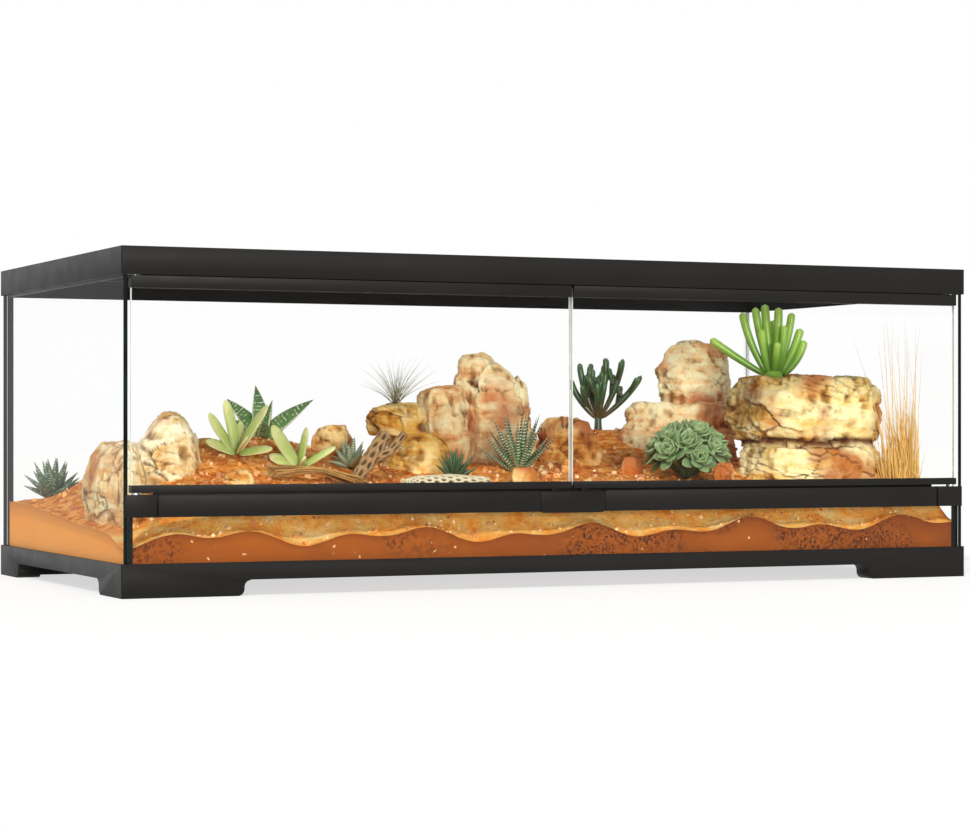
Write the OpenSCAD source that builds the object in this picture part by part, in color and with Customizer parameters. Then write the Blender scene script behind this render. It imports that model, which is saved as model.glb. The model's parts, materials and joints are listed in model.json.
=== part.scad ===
// Low glass terrarium with two front doors, a screen lid and a desert landscape.
// Millimetres. +X right, +Y back, +Z up. The origin is on the ground under the middle.

/* [Tank] */
// Width over the plastic frames
tank_w = 915; // [800:5:1100]
// Depth over the plastic frames
tank_d = 450; // [400:5:550]
// Height from the ground to the top rim
tank_h = 322; // [315:1:400]

/* [Glass] */
// Thickness of the wall and door panes
glass_t = 4; // [3:0.5:5]
// Thickness of the floor pane
floor_glass_t = 5; // [4:0.5:8]
// Width of the silicone beads
seal_w = 6; // [4:0.5:8]

/* [Base frame] */
// Wall thickness of the plastic frames
wall_t = 2.5; // [2:0.1:3]
// Height of the base frame's upper edge
base_h = 31.5; // [29:0.5:40]
// Clear height between the feet
ground_gap = 15; // [14:0.5:18]
// Thickness of the ledge that carries the glass
ledge_t = 3; // [2.5:0.1:4]
// Width of that ledge
ledge_w = 24; // [20:1:30]
// Length of a foot along the front and back
foot_front_l = 118; // [90:1:140]
// Length of a foot along the sides
foot_side_l = 75; // [60:1:90]
// Rounding of the feet
foot_r = 6.5; // [4:0.5:6.5]
// Rounding of the frames' upright corners
corner_r = 2; // [1:0.5:3]

/* [Top frame] */
// Height of the fascia
top_h = 26; // [24:0.5:32]
// Rim width at the sides
rim_side = 18; // [16:1:26]
// Rim width at the front
rim_front = 30; // [28:1:40]
// Rim width at the back
rim_back = 30; // [30:1:40]
// Wall thickness inside the top frame
inner_t = 2; // [1.6:0.1:2.4]
// Width of the ledge under the lid
lid_ledge = 6; // [5:0.5:8]

/* [Sill] */
// Height of the sill's lower edge
sill_z = 74; // [70:1:90]
// Height of the sill
sill_h = 20.5; // [18:0.5:24]
// Length of the sill's end blocks
sill_end_l = 30; // [26:1:40]
// Width of the seams in the sill's front
sill_seam = 1.6; // [1:0.1:2]

/* [Doors] */
// Gap between the two doors
door_gap = 2; // [1.5:0.1:3]
// Depth of the door rails
rail_d = 10; // [9:0.5:11]
// Height of the top rails
top_rail_h = 11.3; // [10:0.1:13]
// Height of the bottom rails
bottom_rail_h = 6.8; // [6.5:0.1:8]
// Radius of the hinge pins
pin_r = 2; // [1.6:0.1:2.2]
// Radial clearance of pins in their bores
pin_fit = 0.05; // [0.03:0.01:0.08]

/* [Latch] */
// Width of the latch plate
latch_w = 70; // [50:1:90]
// How far its tab reaches below the sill
latch_tab = 1.2; // [1:0.1:3]
// Radius of the latch pin
latch_pin_r = 1; // [0.8:0.1:1.1]
// Width of one latch hook
hook_w = 10; // [8:0.5:14]

/* [Screen lid] */
// Width of the lid's frame
lid_frame_w = 20; // [18:1:26]
// Height of the lid's frame
lid_h = 8; // [7:0.5:8]
// Thickness of the mesh
mesh_t = 0.6; // [0.4:0.1:1]
// Width of the mesh wires in this coarse net
mesh_wire = 2.4; // [2:0.2:4]
// Net openings along the width
mesh_cols = 24; // [12:1:24]
// Net openings along the depth
mesh_rows = 12; // [6:1:12]
// Travel of a screen lock
lock_travel = 4; // [3:0.5:5]

/* [Cable inlets] */
// Length of a cable inlet
inlet_l = 42; // [30:1:50]
// Depth of a cable inlet
inlet_d = 11; // [8:0.5:11]
// Distance from the frame's end to an inlet
inlet_end = 70; // [50:1:120]

/* [Landscape] */
// Soil height at the front glass
soil_front = 54; // [44:1:60]
// Soil height of the flat ground behind the sill
soil_level = 98; // [92:1:104]
// Size of the plants and rocks
decor_scale = 1; // [0.9:0.01:1.03]

/* [Hidden] */
$fn = 48;
eps = 0.01;
half_w = tank_w / 2;
half_d = tank_d / 2;
front_y = -half_d;
foot_step = 0.4;
// glass
glass_gap = 0.3;
pane_out_x = half_w - wall_t;
pane_in_x = pane_out_x - glass_t;
front_pane_y = front_y + wall_t;
front_in_y = front_pane_y + glass_t;
back_in_y = half_d - wall_t - glass_t;
in_w = 2 * pane_in_x;
in_d = back_in_y - front_in_y;
ledge_top = ground_gap + ledge_t;
floor_top = ledge_top + floor_glass_t;
top_z = tank_h - top_h;
rim_z = tank_h - wall_t;
channel_drop = 2;
channel_z = top_z - channel_drop;
// sill
sill_top = sill_z + sill_h;
sill_web = 6.5;
sill_inset = 3.4;
sill_end_x = half_w - sill_inset - sill_end_l;
cover_x = sill_end_x - sill_seam;
front_glass_top = sill_top - 9.5;
sill_back_t = 2.5;
front_skin = 2.2;
stop_t = 2;
stop_gap = 0.5;
stop_h = 6.5;
// doors
door_inset = 9.8;
door_front = 1;
door_lift = 2;
door_slack = 0.7;
door_floor = 2.5;
door_z0 = sill_top + door_lift;
door_z1 = top_z - door_slack;
rail_y0 = front_y + door_front;
rail_y1 = rail_y0 + rail_d;
door_out_x = half_w - door_inset;
door_in_x = door_gap / 2;
door_glass_y = rail_y0 + (rail_d - glass_t) / 2;
door_glass_z0 = door_z0 + door_floor;
door_glass_z1 = door_z1 - door_floor;
pin_x = half_w - door_inset - 4.7;
pin_y = rail_y0 + rail_d / 2;
pin_depth = 5.5;
pin_seat = 2.4;
collar_r = 4;
stop_y = rail_y1 + stop_gap;
stop_clear = 12;
hinge_block = 14.5;
// latch
latch_y = front_y + 2.3;
latch_z = sill_top - 2.5;
barrel_r = 2.3;
hook_x = 16;
hook_t = 2;
hook_reach = 4.9;
hook_rise = 3.7;
pocket_y0 = 4;
pocket_y1 = 8;
latch_slack = 0.4;
latch_pin_end = 4;
latch_pin_gap = 0.5;
// lid
open_x = half_w - rim_side;
open_y0 = front_y + rim_front;
open_y1 = half_d - rim_back;
lid_fit = 0.8;
lid_z = rim_z - lid_h;
ledge_z = lid_z - inner_t;
lid_x = open_x - lid_fit;
lid_y0 = open_y0 + lid_fit;
lid_y1 = open_y1 - lid_fit;
rebate_w = 8;
rebate_drop = 3.5;
mesh_z = rim_z - rebate_drop;
rebate_x = lid_x - (lid_frame_w - rebate_w);
rebate_y0 = lid_y0 + lid_frame_w - rebate_w;
rebate_y1 = lid_y1 - lid_frame_w + rebate_w;
strip_w = 4;
strip_h = 2.4;
strip_fit = 0.2;
lid_bar_w = 16;
lock_l = 10;
lock_w = 16;
lock_t = 3;
lock_fit = 0.3;
lock_grip = 2;
// cable inlets
inlet_x0 = half_w - inlet_end - inlet_l;
inlet_y1 = half_d - wall_t - glass_t - inner_t - 4.3;
inlet_y0 = inlet_y1 - inlet_d;
shutter_lap = 2.2;
shutter_t = 2.2;
shutter_tab = 3;
shutter_drop = 0.3;
tab_slack = 0.4;
shutter_travel = inlet_l - shutter_tab - 2 * tab_slack;
guide_t = 1.4;
guide_lip = 1.5;
// the landscape is drawn for an inside of 902 x 437 mm and stretched to the tank's inside
stretch_x = in_w / 902;
stretch_y = in_d / 437;
golden = 137.5;

// colours
plastic = "#2d2c2a";
clear = [0.82, 0.92, 0.9, 0.35];
rubber = "#161616";
steel = "#b8bcc0";
sand = "#c98a4b";
cream_stone = "#d8bf94";
orange_stone = "#c47a3a";
pale_wood = "#e2d6ba";
brown_wood = "#8d6f4c";
straw_tone = "#c9a468";
green = "#6f8f4e";
blue_green = "#5f8a78";
dark_green = "#34523d";

// ---------------------------------------------------------------- shared shapes

// Box between two corners
module block(x0, x1, y0, y1, z0, z1) {
    translate([x0, y0, z0]) cube([x1 - x0, y1 - y0, z1 - z0]);
}

// The same box at both ends of the tank
module both_ends(x0, x1, y0, y1, z0, z1) {
    block(x0, x1, y0, y1, z0, z1);
    block(-x1, -x0, y0, y1, z0, z1);
}

// Plan of the frames with rounded upright corners
module frame_plan() {
    square([tank_w - 2 * corner_r, tank_d], center = true);
    square([tank_w, tank_d - 2 * corner_r], center = true);
    for (x = [-1, 1], y = [-1, 1])
        translate([x * (half_w - corner_r), y * (half_d - corner_r)]) circle(r = corner_r);
}

// Upright outer wall of a frame
module frame_wall(h) {
    difference() {
        linear_extrude(h) frame_plan();
        translate([0, 0, -1]) linear_extrude(h + 2)
            square([tank_w - 2 * wall_t, tank_d - 2 * wall_t], center = true);
    }
}

// Wall of thickness t round a rectangle, outside it
module wall_round(x, y0, y1, z0, z1, t) {
    difference() {
        block(-x - t, x + t, y0 - t, y1 + t, z0, z1);
        block(-x, x, y0, y1, z0 - 1, z1 + 1);
    }
}

// ---------------------------------------------------------------- base

// Side view of a foot: round lower corner, hollow upper corner that ends in a small step
module foot_profile(l) {
    turn_z = ground_gap - foot_r - foot_step;
    square([l - foot_r, ground_gap]);
    translate([0, foot_r]) square([l, ground_gap - foot_r]);
    translate([l - foot_r, foot_r]) circle(r = foot_r);
    difference() {
        translate([l - foot_r, turn_z]) square([2 * foot_r, foot_r + foot_step]);
        translate([l + foot_r, turn_z]) circle(r = foot_r);
    }
}

// Hollow L-shaped foot at the left front corner
module foot() {
    difference() {
        union() {
            translate([-half_w, front_y + ledge_w, 0]) rotate([90, 0, 0])
                linear_extrude(ledge_w) foot_profile(foot_front_l);
            translate([-half_w, front_y, 0]) rotate([90, 0, 90])
                linear_extrude(ledge_w) foot_profile(foot_side_l);
        }
        translate([-half_w + wall_t, front_y + wall_t, -1])
            cube([foot_front_l - foot_r - wall_t, ledge_w - 2 * wall_t, ground_gap - wall_t + 1]);
        translate([-half_w + wall_t, front_y + ledge_w, -1])
            cube([ledge_w - 2 * wall_t, foot_side_l - foot_r - ledge_w,
                ground_gap - wall_t + 1]);
    }
}

module base_frame() color(plastic) {
    translate([0, 0, ground_gap]) frame_wall(base_h - ground_gap);
    difference() {
        block(-half_w + wall_t, half_w - wall_t, front_y + wall_t, half_d - wall_t,
            ground_gap, ledge_top);
        block(-half_w + ledge_w, half_w - ledge_w, front_y + ledge_w, half_d - ledge_w,
            ground_gap - 1, ledge_top + 1);
    }
    intersection() {
        union() {
            foot();
            mirror([1, 0, 0]) foot();
            mirror([0, 1, 0]) foot();
            mirror([1, 0, 0]) mirror([0, 1, 0]) foot();
        }
        linear_extrude(ground_gap) frame_plan();
    }
}

// ---------------------------------------------------------------- glass and seals

module floor_glass() color(clear)
    block(-pane_in_x + glass_gap, pane_in_x - glass_gap, front_in_y + glass_gap,
        back_in_y - glass_gap, ledge_top, floor_top);

module side_glass() {
    block(pane_in_x, pane_out_x, front_pane_y, half_d - wall_t, ledge_top, rim_z);
}

module left_glass() color(clear) mirror([1, 0, 0]) side_glass();

module right_glass() color(clear) side_glass();

module back_glass() color(clear)
    block(-pane_in_x + glass_gap, pane_in_x - glass_gap, back_in_y, half_d - wall_t,
        ledge_top, rim_z);

module front_glass() color(clear)
    block(-pane_in_x + glass_gap, pane_in_x - glass_gap, front_pane_y, front_in_y,
        ledge_top, front_glass_top);

// Triangular bead in the left front corner
module corner_bead(z1) {
    translate([-pane_in_x, front_in_y, floor_top]) linear_extrude(z1 - floor_top)
        polygon([[0, 0], [seal_w, 0], [0, seal_w]]);
}

module corner_bead_forms() {
    corner_bead(sill_z);
    mirror([1, 0, 0]) corner_bead(sill_z);
    translate([0, front_in_y + back_in_y, 0]) mirror([0, 1, 0]) {
        corner_bead(channel_z);
        mirror([1, 0, 0]) corner_bead(channel_z);
    }
}

module corner_seals() color(rubber) corner_bead_forms();

// Bead along the foot of the walls, between the corner beads
module floor_bead_forms() {
    for (side = [-1, 1])
        translate([side * pane_in_x, back_in_y - seal_w, floor_top]) rotate([90, 0, 0])
            linear_extrude(in_d - 2 * seal_w)
                polygon([[0, 0], [-side * seal_w, 0], [0, seal_w]]);
    translate([-pane_in_x + seal_w, front_in_y, floor_top]) rotate([90, 0, 90])
        linear_extrude(in_w - 2 * seal_w) polygon([[0, 0], [seal_w, 0], [0, seal_w]]);
    translate([-pane_in_x + seal_w, back_in_y, floor_top]) rotate([90, 0, 90])
        linear_extrude(in_w - 2 * seal_w) polygon([[0, 0], [-seal_w, 0], [0, seal_w]]);
}

module floor_seal() color(rubber) floor_bead_forms();

// ---------------------------------------------------------------- sill

// Room for the latch in the rail and cover
module latch_window() {
    block(-latch_w / 2 - latch_slack, latch_w / 2 + latch_slack, front_y - 1,
        rail_y1 - 0.5, front_glass_top, sill_top + 1);
}

module latch_bore() {
    l = latch_w + 2 * (latch_pin_end + latch_pin_gap);
    translate([-l / 2, latch_y, latch_z]) rotate([0, 90, 0])
        cylinder(r = latch_pin_r + pin_fit, h = l);
}

module sill_rail() color(plastic) difference() {
    union() {
        block(-sill_end_x, sill_end_x, front_y + front_skin, stop_y + stop_t,
            sill_top - sill_web, sill_top);
        block(-sill_end_x, sill_end_x, front_in_y, front_in_y + sill_back_t,
            sill_z, sill_top - sill_web);
        block(-sill_end_x, sill_end_x, front_y + front_skin, front_in_y + sill_back_t,
            front_glass_top, sill_top - sill_web + eps);
        block(-sill_end_x, sill_end_x, stop_y, stop_y + stop_t, sill_top - eps,
            sill_top + stop_h);
    }
    latch_window();
    latch_bore();
}

// End block at the right, with the bore of the door's lower pin
module sill_end() {
    difference() {
        union() {
            block(sill_end_x, half_w - sill_inset, front_y, front_pane_y, sill_z, sill_top);
            block(sill_end_x, pane_in_x - glass_gap, front_pane_y - eps, front_in_y + eps,
                front_glass_top, sill_top);
            block(sill_end_x, pane_in_x - glass_gap, front_in_y, stop_y + stop_t, sill_z,
                sill_top);
        }
        translate([pin_x, pin_y, sill_top - pin_depth])
            cylinder(r = pin_r + pin_fit, h = pin_depth + 1);
    }
}

module sill_end_left() color(plastic) mirror([1, 0, 0]) sill_end();

module sill_end_right() color(plastic) sill_end();

// Long front strip with a stepped upper edge, in two lengths beside the latch
module sill_cover() color(plastic) difference() {
    union() {
        block(-cover_x, cover_x, front_y, front_y + front_skin, sill_z, sill_top - 1);
        block(-cover_x + 1, cover_x - 1, front_y + 1, front_y + front_skin,
            sill_top - 1 - eps, sill_top);
    }
    block(-latch_w / 2 - latch_slack, latch_w / 2 + latch_slack, front_y - 1,
        front_y + front_skin + 1, sill_z - 1, sill_top + 1);
    latch_bore();
}

// ---------------------------------------------------------------- latch

module latch_handle() color(plastic) difference() {
    union() {
        block(-latch_w / 2, latch_w / 2, front_y, front_y + front_skin - 0.1,
            sill_z, latch_z);
        block(-latch_w / 2 + 2, latch_w / 2 - 2, front_y, front_y + front_skin - 0.1,
            sill_z - latch_tab, sill_z + eps);
        translate([-latch_w / 2, latch_y, latch_z]) rotate([0, 90, 0])
            cylinder(r = barrel_r, h = latch_w);
        for (side = [-1, 1]) {
            block(side * hook_x - hook_w / 2, side * hook_x + hook_w / 2, latch_y,
                latch_y + hook_reach, latch_z - hook_t / 2, latch_z + hook_t / 2);
            block(side * hook_x - hook_w / 2, side * hook_x + hook_w / 2,
                latch_y + hook_reach - hook_t, latch_y + hook_reach, latch_z,
                sill_top + hook_rise);
        }
    }
    latch_bore();
}

module latch_pin() color(steel)
    translate([-latch_w / 2 - latch_pin_end, latch_y, latch_z]) rotate([0, 90, 0])
        cylinder(r = latch_pin_r, h = latch_w + 2 * latch_pin_end);

// ---------------------------------------------------------------- doors, drawn at the right

module door_glass() {
    block(door_in_x, door_out_x - 0.5, door_glass_y, door_glass_y + glass_t,
        door_glass_z0, door_glass_z1);
}

module door_top_rail() {
    difference() {
        block(door_in_x, door_out_x, rail_y0, rail_y1, door_z1 - top_rail_h, door_z1);
        block(door_in_x - 1, door_out_x - 0.5, door_glass_y, door_glass_y + glass_t,
            door_z1 - top_rail_h - 1, door_glass_z1);
        translate([pin_x, pin_y, door_z1 - pin_seat])
            cylinder(r = pin_r, h = pin_seat + 1);
    }
}

module door_bottom_rail() {
    difference() {
        block(door_in_x, door_out_x, rail_y0, rail_y1, door_z0, door_z0 + bottom_rail_h);
        block(door_in_x - 1, door_out_x - 0.5, door_glass_y, door_glass_y + glass_t,
            door_glass_z0, door_z0 + bottom_rail_h + 1);
        translate([pin_x, pin_y, door_z0 - 1]) cylinder(r = pin_r, h = pin_seat + 1);
        block(hook_x - hook_w / 2 - 1, hook_x + hook_w / 2 + 1, front_y + pocket_y0,
            front_y + pocket_y1 + 1, door_z0 - 1, door_glass_z0);
    }
}

module hinge_pins() {
    translate([pin_x, pin_y, sill_top - pin_depth + 0.2])
        cylinder(r = pin_r, h = pin_depth - 0.2 + door_lift + pin_seat);
    translate([pin_x, pin_y, sill_top + 0.1]) cylinder(r = collar_r, h = door_lift - 0.1);
    translate([pin_x, pin_y, door_z1 - pin_seat])
        cylinder(r = pin_r, h = pin_seat + door_slack + pin_depth - 0.2);
}

module left_door_glass() color(clear) mirror([1, 0, 0]) door_glass();

module left_door_top_rail() color(plastic) mirror([1, 0, 0]) door_top_rail();

module left_door_bottom_rail() color(plastic) mirror([1, 0, 0]) door_bottom_rail();

module left_hinge_pins() color(steel) mirror([1, 0, 0]) hinge_pins();

module right_door_glass() color(clear) door_glass();

module right_door_top_rail() color(plastic) door_top_rail();

module right_door_bottom_rail() color(plastic) door_bottom_rail();

module right_hinge_pins() color(steel) hinge_pins();

// ---------------------------------------------------------------- top frame

// Guides under the rim that carry the right shutter
module inlet_guides() {
    x0 = inlet_x0 - shutter_travel - shutter_lap - 1;
    x1 = inlet_x0 + inlet_l + shutter_lap + 1;
    z0 = rim_z - shutter_t - 2 * shutter_drop - guide_lip;
    ya = inlet_y0 - shutter_lap - shutter_drop;
    yb = inlet_y1 + shutter_lap + shutter_drop;
    block(x0, x1, ya - guide_t, ya, z0, rim_z);
    block(x0, x1, yb, yb + guide_t, z0, rim_z);
    block(x0, x1, ya - eps, ya + guide_lip, z0, z0 + guide_lip);
    block(x0, x1, yb - guide_lip, yb + eps, z0, z0 + guide_lip);
}

// Right half of what is added to the top frame: hinge block and inlet guides
module top_frame_right() {
    block(pane_in_x - hinge_block, pane_in_x, front_y + wall_t, rail_y1 + stop_gap,
        top_z + 0.3, rim_z);
    block(pane_in_x - inner_t, pane_in_x, rail_y1 + 3, back_in_y, channel_z, rim_z);
    inlet_guides();
}

module lock_slot() {
    block(lid_x - 1, open_x + inner_t + 1, -lock_w / 2 - lock_fit, lock_w / 2 + lock_fit,
        mesh_z - lock_fit, mesh_z + lock_t + lock_fit);
}

module top_frame() color(plastic) difference() {
    union() {
        translate([0, 0, top_z]) frame_wall(top_h);
        difference() {
            translate([0, 0, rim_z]) linear_extrude(wall_t) frame_plan();
            block(-open_x, open_x, open_y0, open_y1, rim_z - 1, tank_h + 1);
        }
        wall_round(open_x, open_y0, open_y1, ledge_z, rim_z + eps, inner_t);
        difference() {
            block(-open_x - eps, open_x + eps, open_y0 - eps, open_y1 + eps, ledge_z, lid_z);
            block(-open_x + lid_ledge, open_x - lid_ledge, open_y0 + lid_ledge,
                open_y1 - lid_ledge, ledge_z - 1, lid_z + 1);
        }
        block(-pane_in_x, pane_in_x, back_in_y - inner_t, back_in_y, channel_z, rim_z);
        block(-door_out_x + stop_clear, door_out_x - stop_clear, stop_y, stop_y + stop_t,
            door_z1 - stop_h, rim_z);
        top_frame_right();
        mirror([1, 0, 0]) top_frame_right();
    }
    for (side = [-1, 1])
        translate([side * pin_x, pin_y, top_z]) cylinder(r = pin_r + pin_fit, h = pin_depth);
    both_ends(inlet_x0, inlet_x0 + inlet_l, inlet_y0, inlet_y1, rim_z - 1, tank_h + 1);
    lock_slot();
    mirror([1, 0, 0]) lock_slot();
}

// Right shutter, slid towards the middle so that the inlet is open
module cable_shutter() {
    x0 = inlet_x0 - shutter_travel;
    z1 = rim_z - shutter_drop;
    block(x0 - shutter_lap, x0 + inlet_l + shutter_lap, inlet_y0 - shutter_lap,
        inlet_y1 + shutter_lap, z1 - shutter_t, z1);
    block(x0 + inlet_l - tab_slack - shutter_tab, x0 + inlet_l - tab_slack,
        inlet_y0 + tab_slack, inlet_y1 - tab_slack, z1 - eps, tank_h - 0.5);
}

module left_cable_shutter() color(plastic) mirror([1, 0, 0]) cable_shutter();

module right_cable_shutter() color(plastic) cable_shutter();

// ---------------------------------------------------------------- screen lid

module screen_frame() color(plastic) difference() {
    block(-lid_x, lid_x, lid_y0, lid_y1, lid_z, rim_z);
    block(-rebate_x, rebate_x, rebate_y0, rebate_y1, mesh_z, rim_z + 1);
    for (side = [-1, 1])
        block(min(side * lid_bar_w / 2, side * (lid_x - lid_frame_w)),
            max(side * lid_bar_w / 2, side * (lid_x - lid_frame_w)),
            lid_y0 + lid_frame_w, lid_y1 - lid_frame_w, lid_z - 1, rim_z + 1);
    both_ends(lid_x - lock_l - 1, lid_x + 1, -lock_w / 2 - lock_fit, lock_w / 2 + lock_fit,
        mesh_z, rim_z + 1);
}

module screen_mesh() color(steel) {
    x = rebate_x - strip_fit;
    y0 = rebate_y0 + strip_fit;
    y1 = rebate_y1 - strip_fit;
    pitch_x = (2 * x - mesh_wire) / mesh_cols;
    pitch_y = (y1 - y0 - mesh_wire) / mesh_rows;
    difference() {
        block(-x, x, y0, y1, mesh_z, mesh_z + mesh_t);
        for (i = [0:mesh_cols - 1], j = [0:mesh_rows - 1])
            translate([-x + mesh_wire + i * pitch_x, y0 + mesh_wire + j * pitch_y, mesh_z - 1])
                cube([pitch_x - mesh_wire, pitch_y - mesh_wire, mesh_t + 2]);
    }
}

module screen_retainer() color(rubber)
    wall_round(rebate_x - strip_fit - strip_w, rebate_y0 + strip_fit + strip_w,
        rebate_y1 - strip_fit - strip_w, mesh_z + mesh_t, mesh_z + mesh_t + strip_h, strip_w);

// Right screen lock, drawn back
module screen_lock() {
    block(lid_x - lock_l, lid_x, -lock_w / 2, lock_w / 2, mesh_z, mesh_z + lock_t);
    block(lid_x - lock_l + 3, lid_x - lock_l + 5, -lock_w / 2 + 2, lock_w / 2 - 2,
        mesh_z + lock_t - eps, mesh_z + lock_t + lock_grip);
}

module left_screen_lock() color(plastic) mirror([1, 0, 0]) screen_lock();

module right_screen_lock() color(plastic) screen_lock();

// ---------------------------------------------------------------- landscape: soil

// Puts forms of the layout, x from the middle and y from the front glass, into the tank
module fitted() translate([0, front_in_y, 0]) scale([stretch_x, stretch_y, 1]) children();

function smooth(t) = let (s = min(max(t, 0), 1)) s * s * (3 - 2 * s);

// A round mound of height h and widths wx and wc at a place on the layout
function mound(x, c, mx, mc, wx, wc, h) =
    h * exp(-(pow((x - mx) / wx, 2) + pow((c - mc) / wc, 2)) / 2);

// Height of the soil on the layout
function edge_height(x) = soil_front + 5 * sin(x * 1.9 + 60) + 4 * sin(x * 4.1 - 20)
    + 4 * smooth((x - 20) / 200);

function plateau(c) = soil_level + 22 * smooth((c - 70) / 160)
    - 44 * smooth((c - 320) / 110);

function soil_height(x, c) = let (
        rise = smooth((c - 2) / 66),
        left = smooth((x + 446 + 0.05 * c) / 110),
        flat = plateau(c) * left + (soil_front + 0.06 * c) * (1 - left),
        hills = mound(x, c, -238, 265, 66, 50, 26) + mound(x, c, -290, 185, 34, 34, 9)
            + mound(x, c, 190, 318, 72, 56, 34) + mound(x, c, 0, 130, 50, 40, 6)
            + mound(x, c, -345, 175, 40, 55, 8),
        grain = 1.6 * sin(x * 7.3 + c * 3.1) + 1.3 * sin(c * 9.7 - x * 4.3))
    edge_height(x) * (1 - rise) + (flat + hills + grain) * rise;

soil_cols = 38;
soil_rows = 17;
soil_gap = 0.3;

function soil_point(i, j, top) = let (
        x = in_w * (i / soil_cols - 0.5),
        y = in_d * j / soil_rows)
    [min(max(x, -pane_in_x + soil_gap), pane_in_x - soil_gap),
        front_in_y + min(max(y, soil_gap), in_d - soil_gap),
        top ? soil_height(x / stretch_x, y / stretch_y) : floor_top];

// Closed solid under the soil's surface; the grid is walked once for the top and the sides
module soil_form() {
    n = soil_cols;
    m = soil_rows;
    row = n + 1;
    top = [for (j = [0:m], i = [0:n]) soil_point(i, j, true)];
    rim = concat([for (i = [0:n]) [i, 0]], [for (j = [1:m]) [n, j]],
        [for (i = [n - 1:-1:0]) [i, m]], [for (j = [m - 1:-1:1]) [0, j]]);
    low = [for (p = rim) soil_point(p[0], p[1], false)];
    base = len(top);
    k = len(rim);
    polyhedron(points = concat(top, low), faces = concat(
        [for (j = [0:m - 1], i = [0:n - 1]) [j * row + i, (j + 1) * row + i, j * row + i + 1]],
        [for (j = [0:m - 1], i = [0:n - 1])
            [j * row + i + 1, (j + 1) * row + i, (j + 1) * row + i + 1]],
        [for (i = [0:k - 1]) let (a = rim[i], b = rim[(i + 1) % k])
            [a[1] * row + a[0], b[1] * row + b[0], base + i]],
        [for (i = [0:k - 1]) let (b = rim[(i + 1) % k])
            [b[1] * row + b[0], base + (i + 1) % k, base + i]],
        [[for (i = [0:k - 1]) base + i]]));
}

// ---------------------------------------------------------------- landscape: stones

// Repeatable scatter between -1 and 1
function chance(i) = let (v = sin(i * 127.1 + 31.7) * 4375.8) 2 * (v - floor(v)) - 1;

module skin(points) {
    hull() polyhedron(points = points, faces = [[for (i = [0:len(points) - 1]) i]]);
}

// Convex stone at layout place (x, c). Each slice is [height over the soil level, shift in x,
// shift in c, half width, half depth]; every slice has the given number of corners, on an
// oval, or with square at 1 on a rectangle with round corners.
module stone(x, c, slices, sides = 8, seed = 1, square = 0) {
    s = decor_scale;
    skin([for (k = [0:len(slices) - 1], i = [0:sides - 1]) let (
            q = slices[k],
            a = (i + 0.35 * chance(seed + i)) * 360 / sides + 20,
            full = pow(pow(cos(a), 4) + pow(sin(a), 4), -0.25),
            r = (1 + 0.07 * chance(seed * 7 + i + k * sides)) * (1 + square * (full - 1)))
        [x + s * (q[1] + q[3] * r * cos(a)), c + s * (q[2] + q[4] * r * sin(a)),
            soil_level + s * q[0] + (k == len(slices) - 1 ? chance(seed + i * 3) : 0)]]);
}

bed = -20;
low_bed = -58;

module left_front_form() stone(-420, 142, [[low_bed, 0, 0, 22, 82], [4, 0, 0, 23, 82],
    [27, -2, 0, 21, 70], [42, -2, -4, 13, 46]], 8, 3);

module left_tall_form() stone(-362, 170, [[low_bed, 0, 0, 42, 46], [14, 0, 0, 41, 45],
    [46, 6, 2, 28, 34], [73, 12, 6, 10, 16]], 8, 11);

module orange_low_form() stone(-85, 184, [[bed, 0, 0, 36, 32], [18, 0, 0, 38, 34],
    [44, -2, 0, 30, 27], [52, -6, 2, 24, 22]], 8, 21);

module orange_top_form() stone(-108, 192, [[53.6, 0, 0, 27, 22], [66, 0, 0, 33, 27],
    [78, 2, 0, 28, 23], [82, 6, 2, 18, 15]], 8, 27);

module centre_left_form() stone(-49, 203, [[bed, 0, 0, 27, 34], [50, 0, 0, 28, 34],
    [96, 0, 0, 27, 30], [103, 3, 0, 20, 22]], 8, 33);

module centre_main_form() stone(18, 218, [[bed, 0, 0, 42, 42], [60, 0, 0, 43, 42],
    [86, -3, 0, 42, 38], [106, -6, 0, 37, 33], [127, -18, 2, 24, 25],
    [137, -25, 3, 15, 17]], 9, 41);

module centre_right_form() stone(99, 210, [[bed, 0, 0, 36, 36], [34, 0, 0, 36, 34],
    [60, -4, 0, 26, 26], [68, -8, 0, 16, 16]], 8, 51);

module back_base_form() stone(262, 262, [[bed, 0, 0, 76, 44], [46, 0, 0, 74, 42],
    [84, 8, 2, 60, 36]], 9, 61);

module back_tower_form() stone(290, 278, [[85.6, 0, 0, 43, 30], [122, -2, 0, 42, 30],
    [146, 4, 0, 36, 25], [153, 8, 0, 26, 18]], 9, 71);

module right_slab_form() stone(348, 122, [[bed, 0, 0, 78, 58], [16, 0, 0, 78, 58],
    [38, -3, 2, 74, 54]], 11, 81, 0.8);

module right_block_form() stone(346, 132, [[39.6, 3, 0, 74, 52], [56, 0, 0, 80, 57],
    [98, 0, 0, 80, 57], [112, 2, 2, 74, 52]], 11, 91, 0.8);

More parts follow.
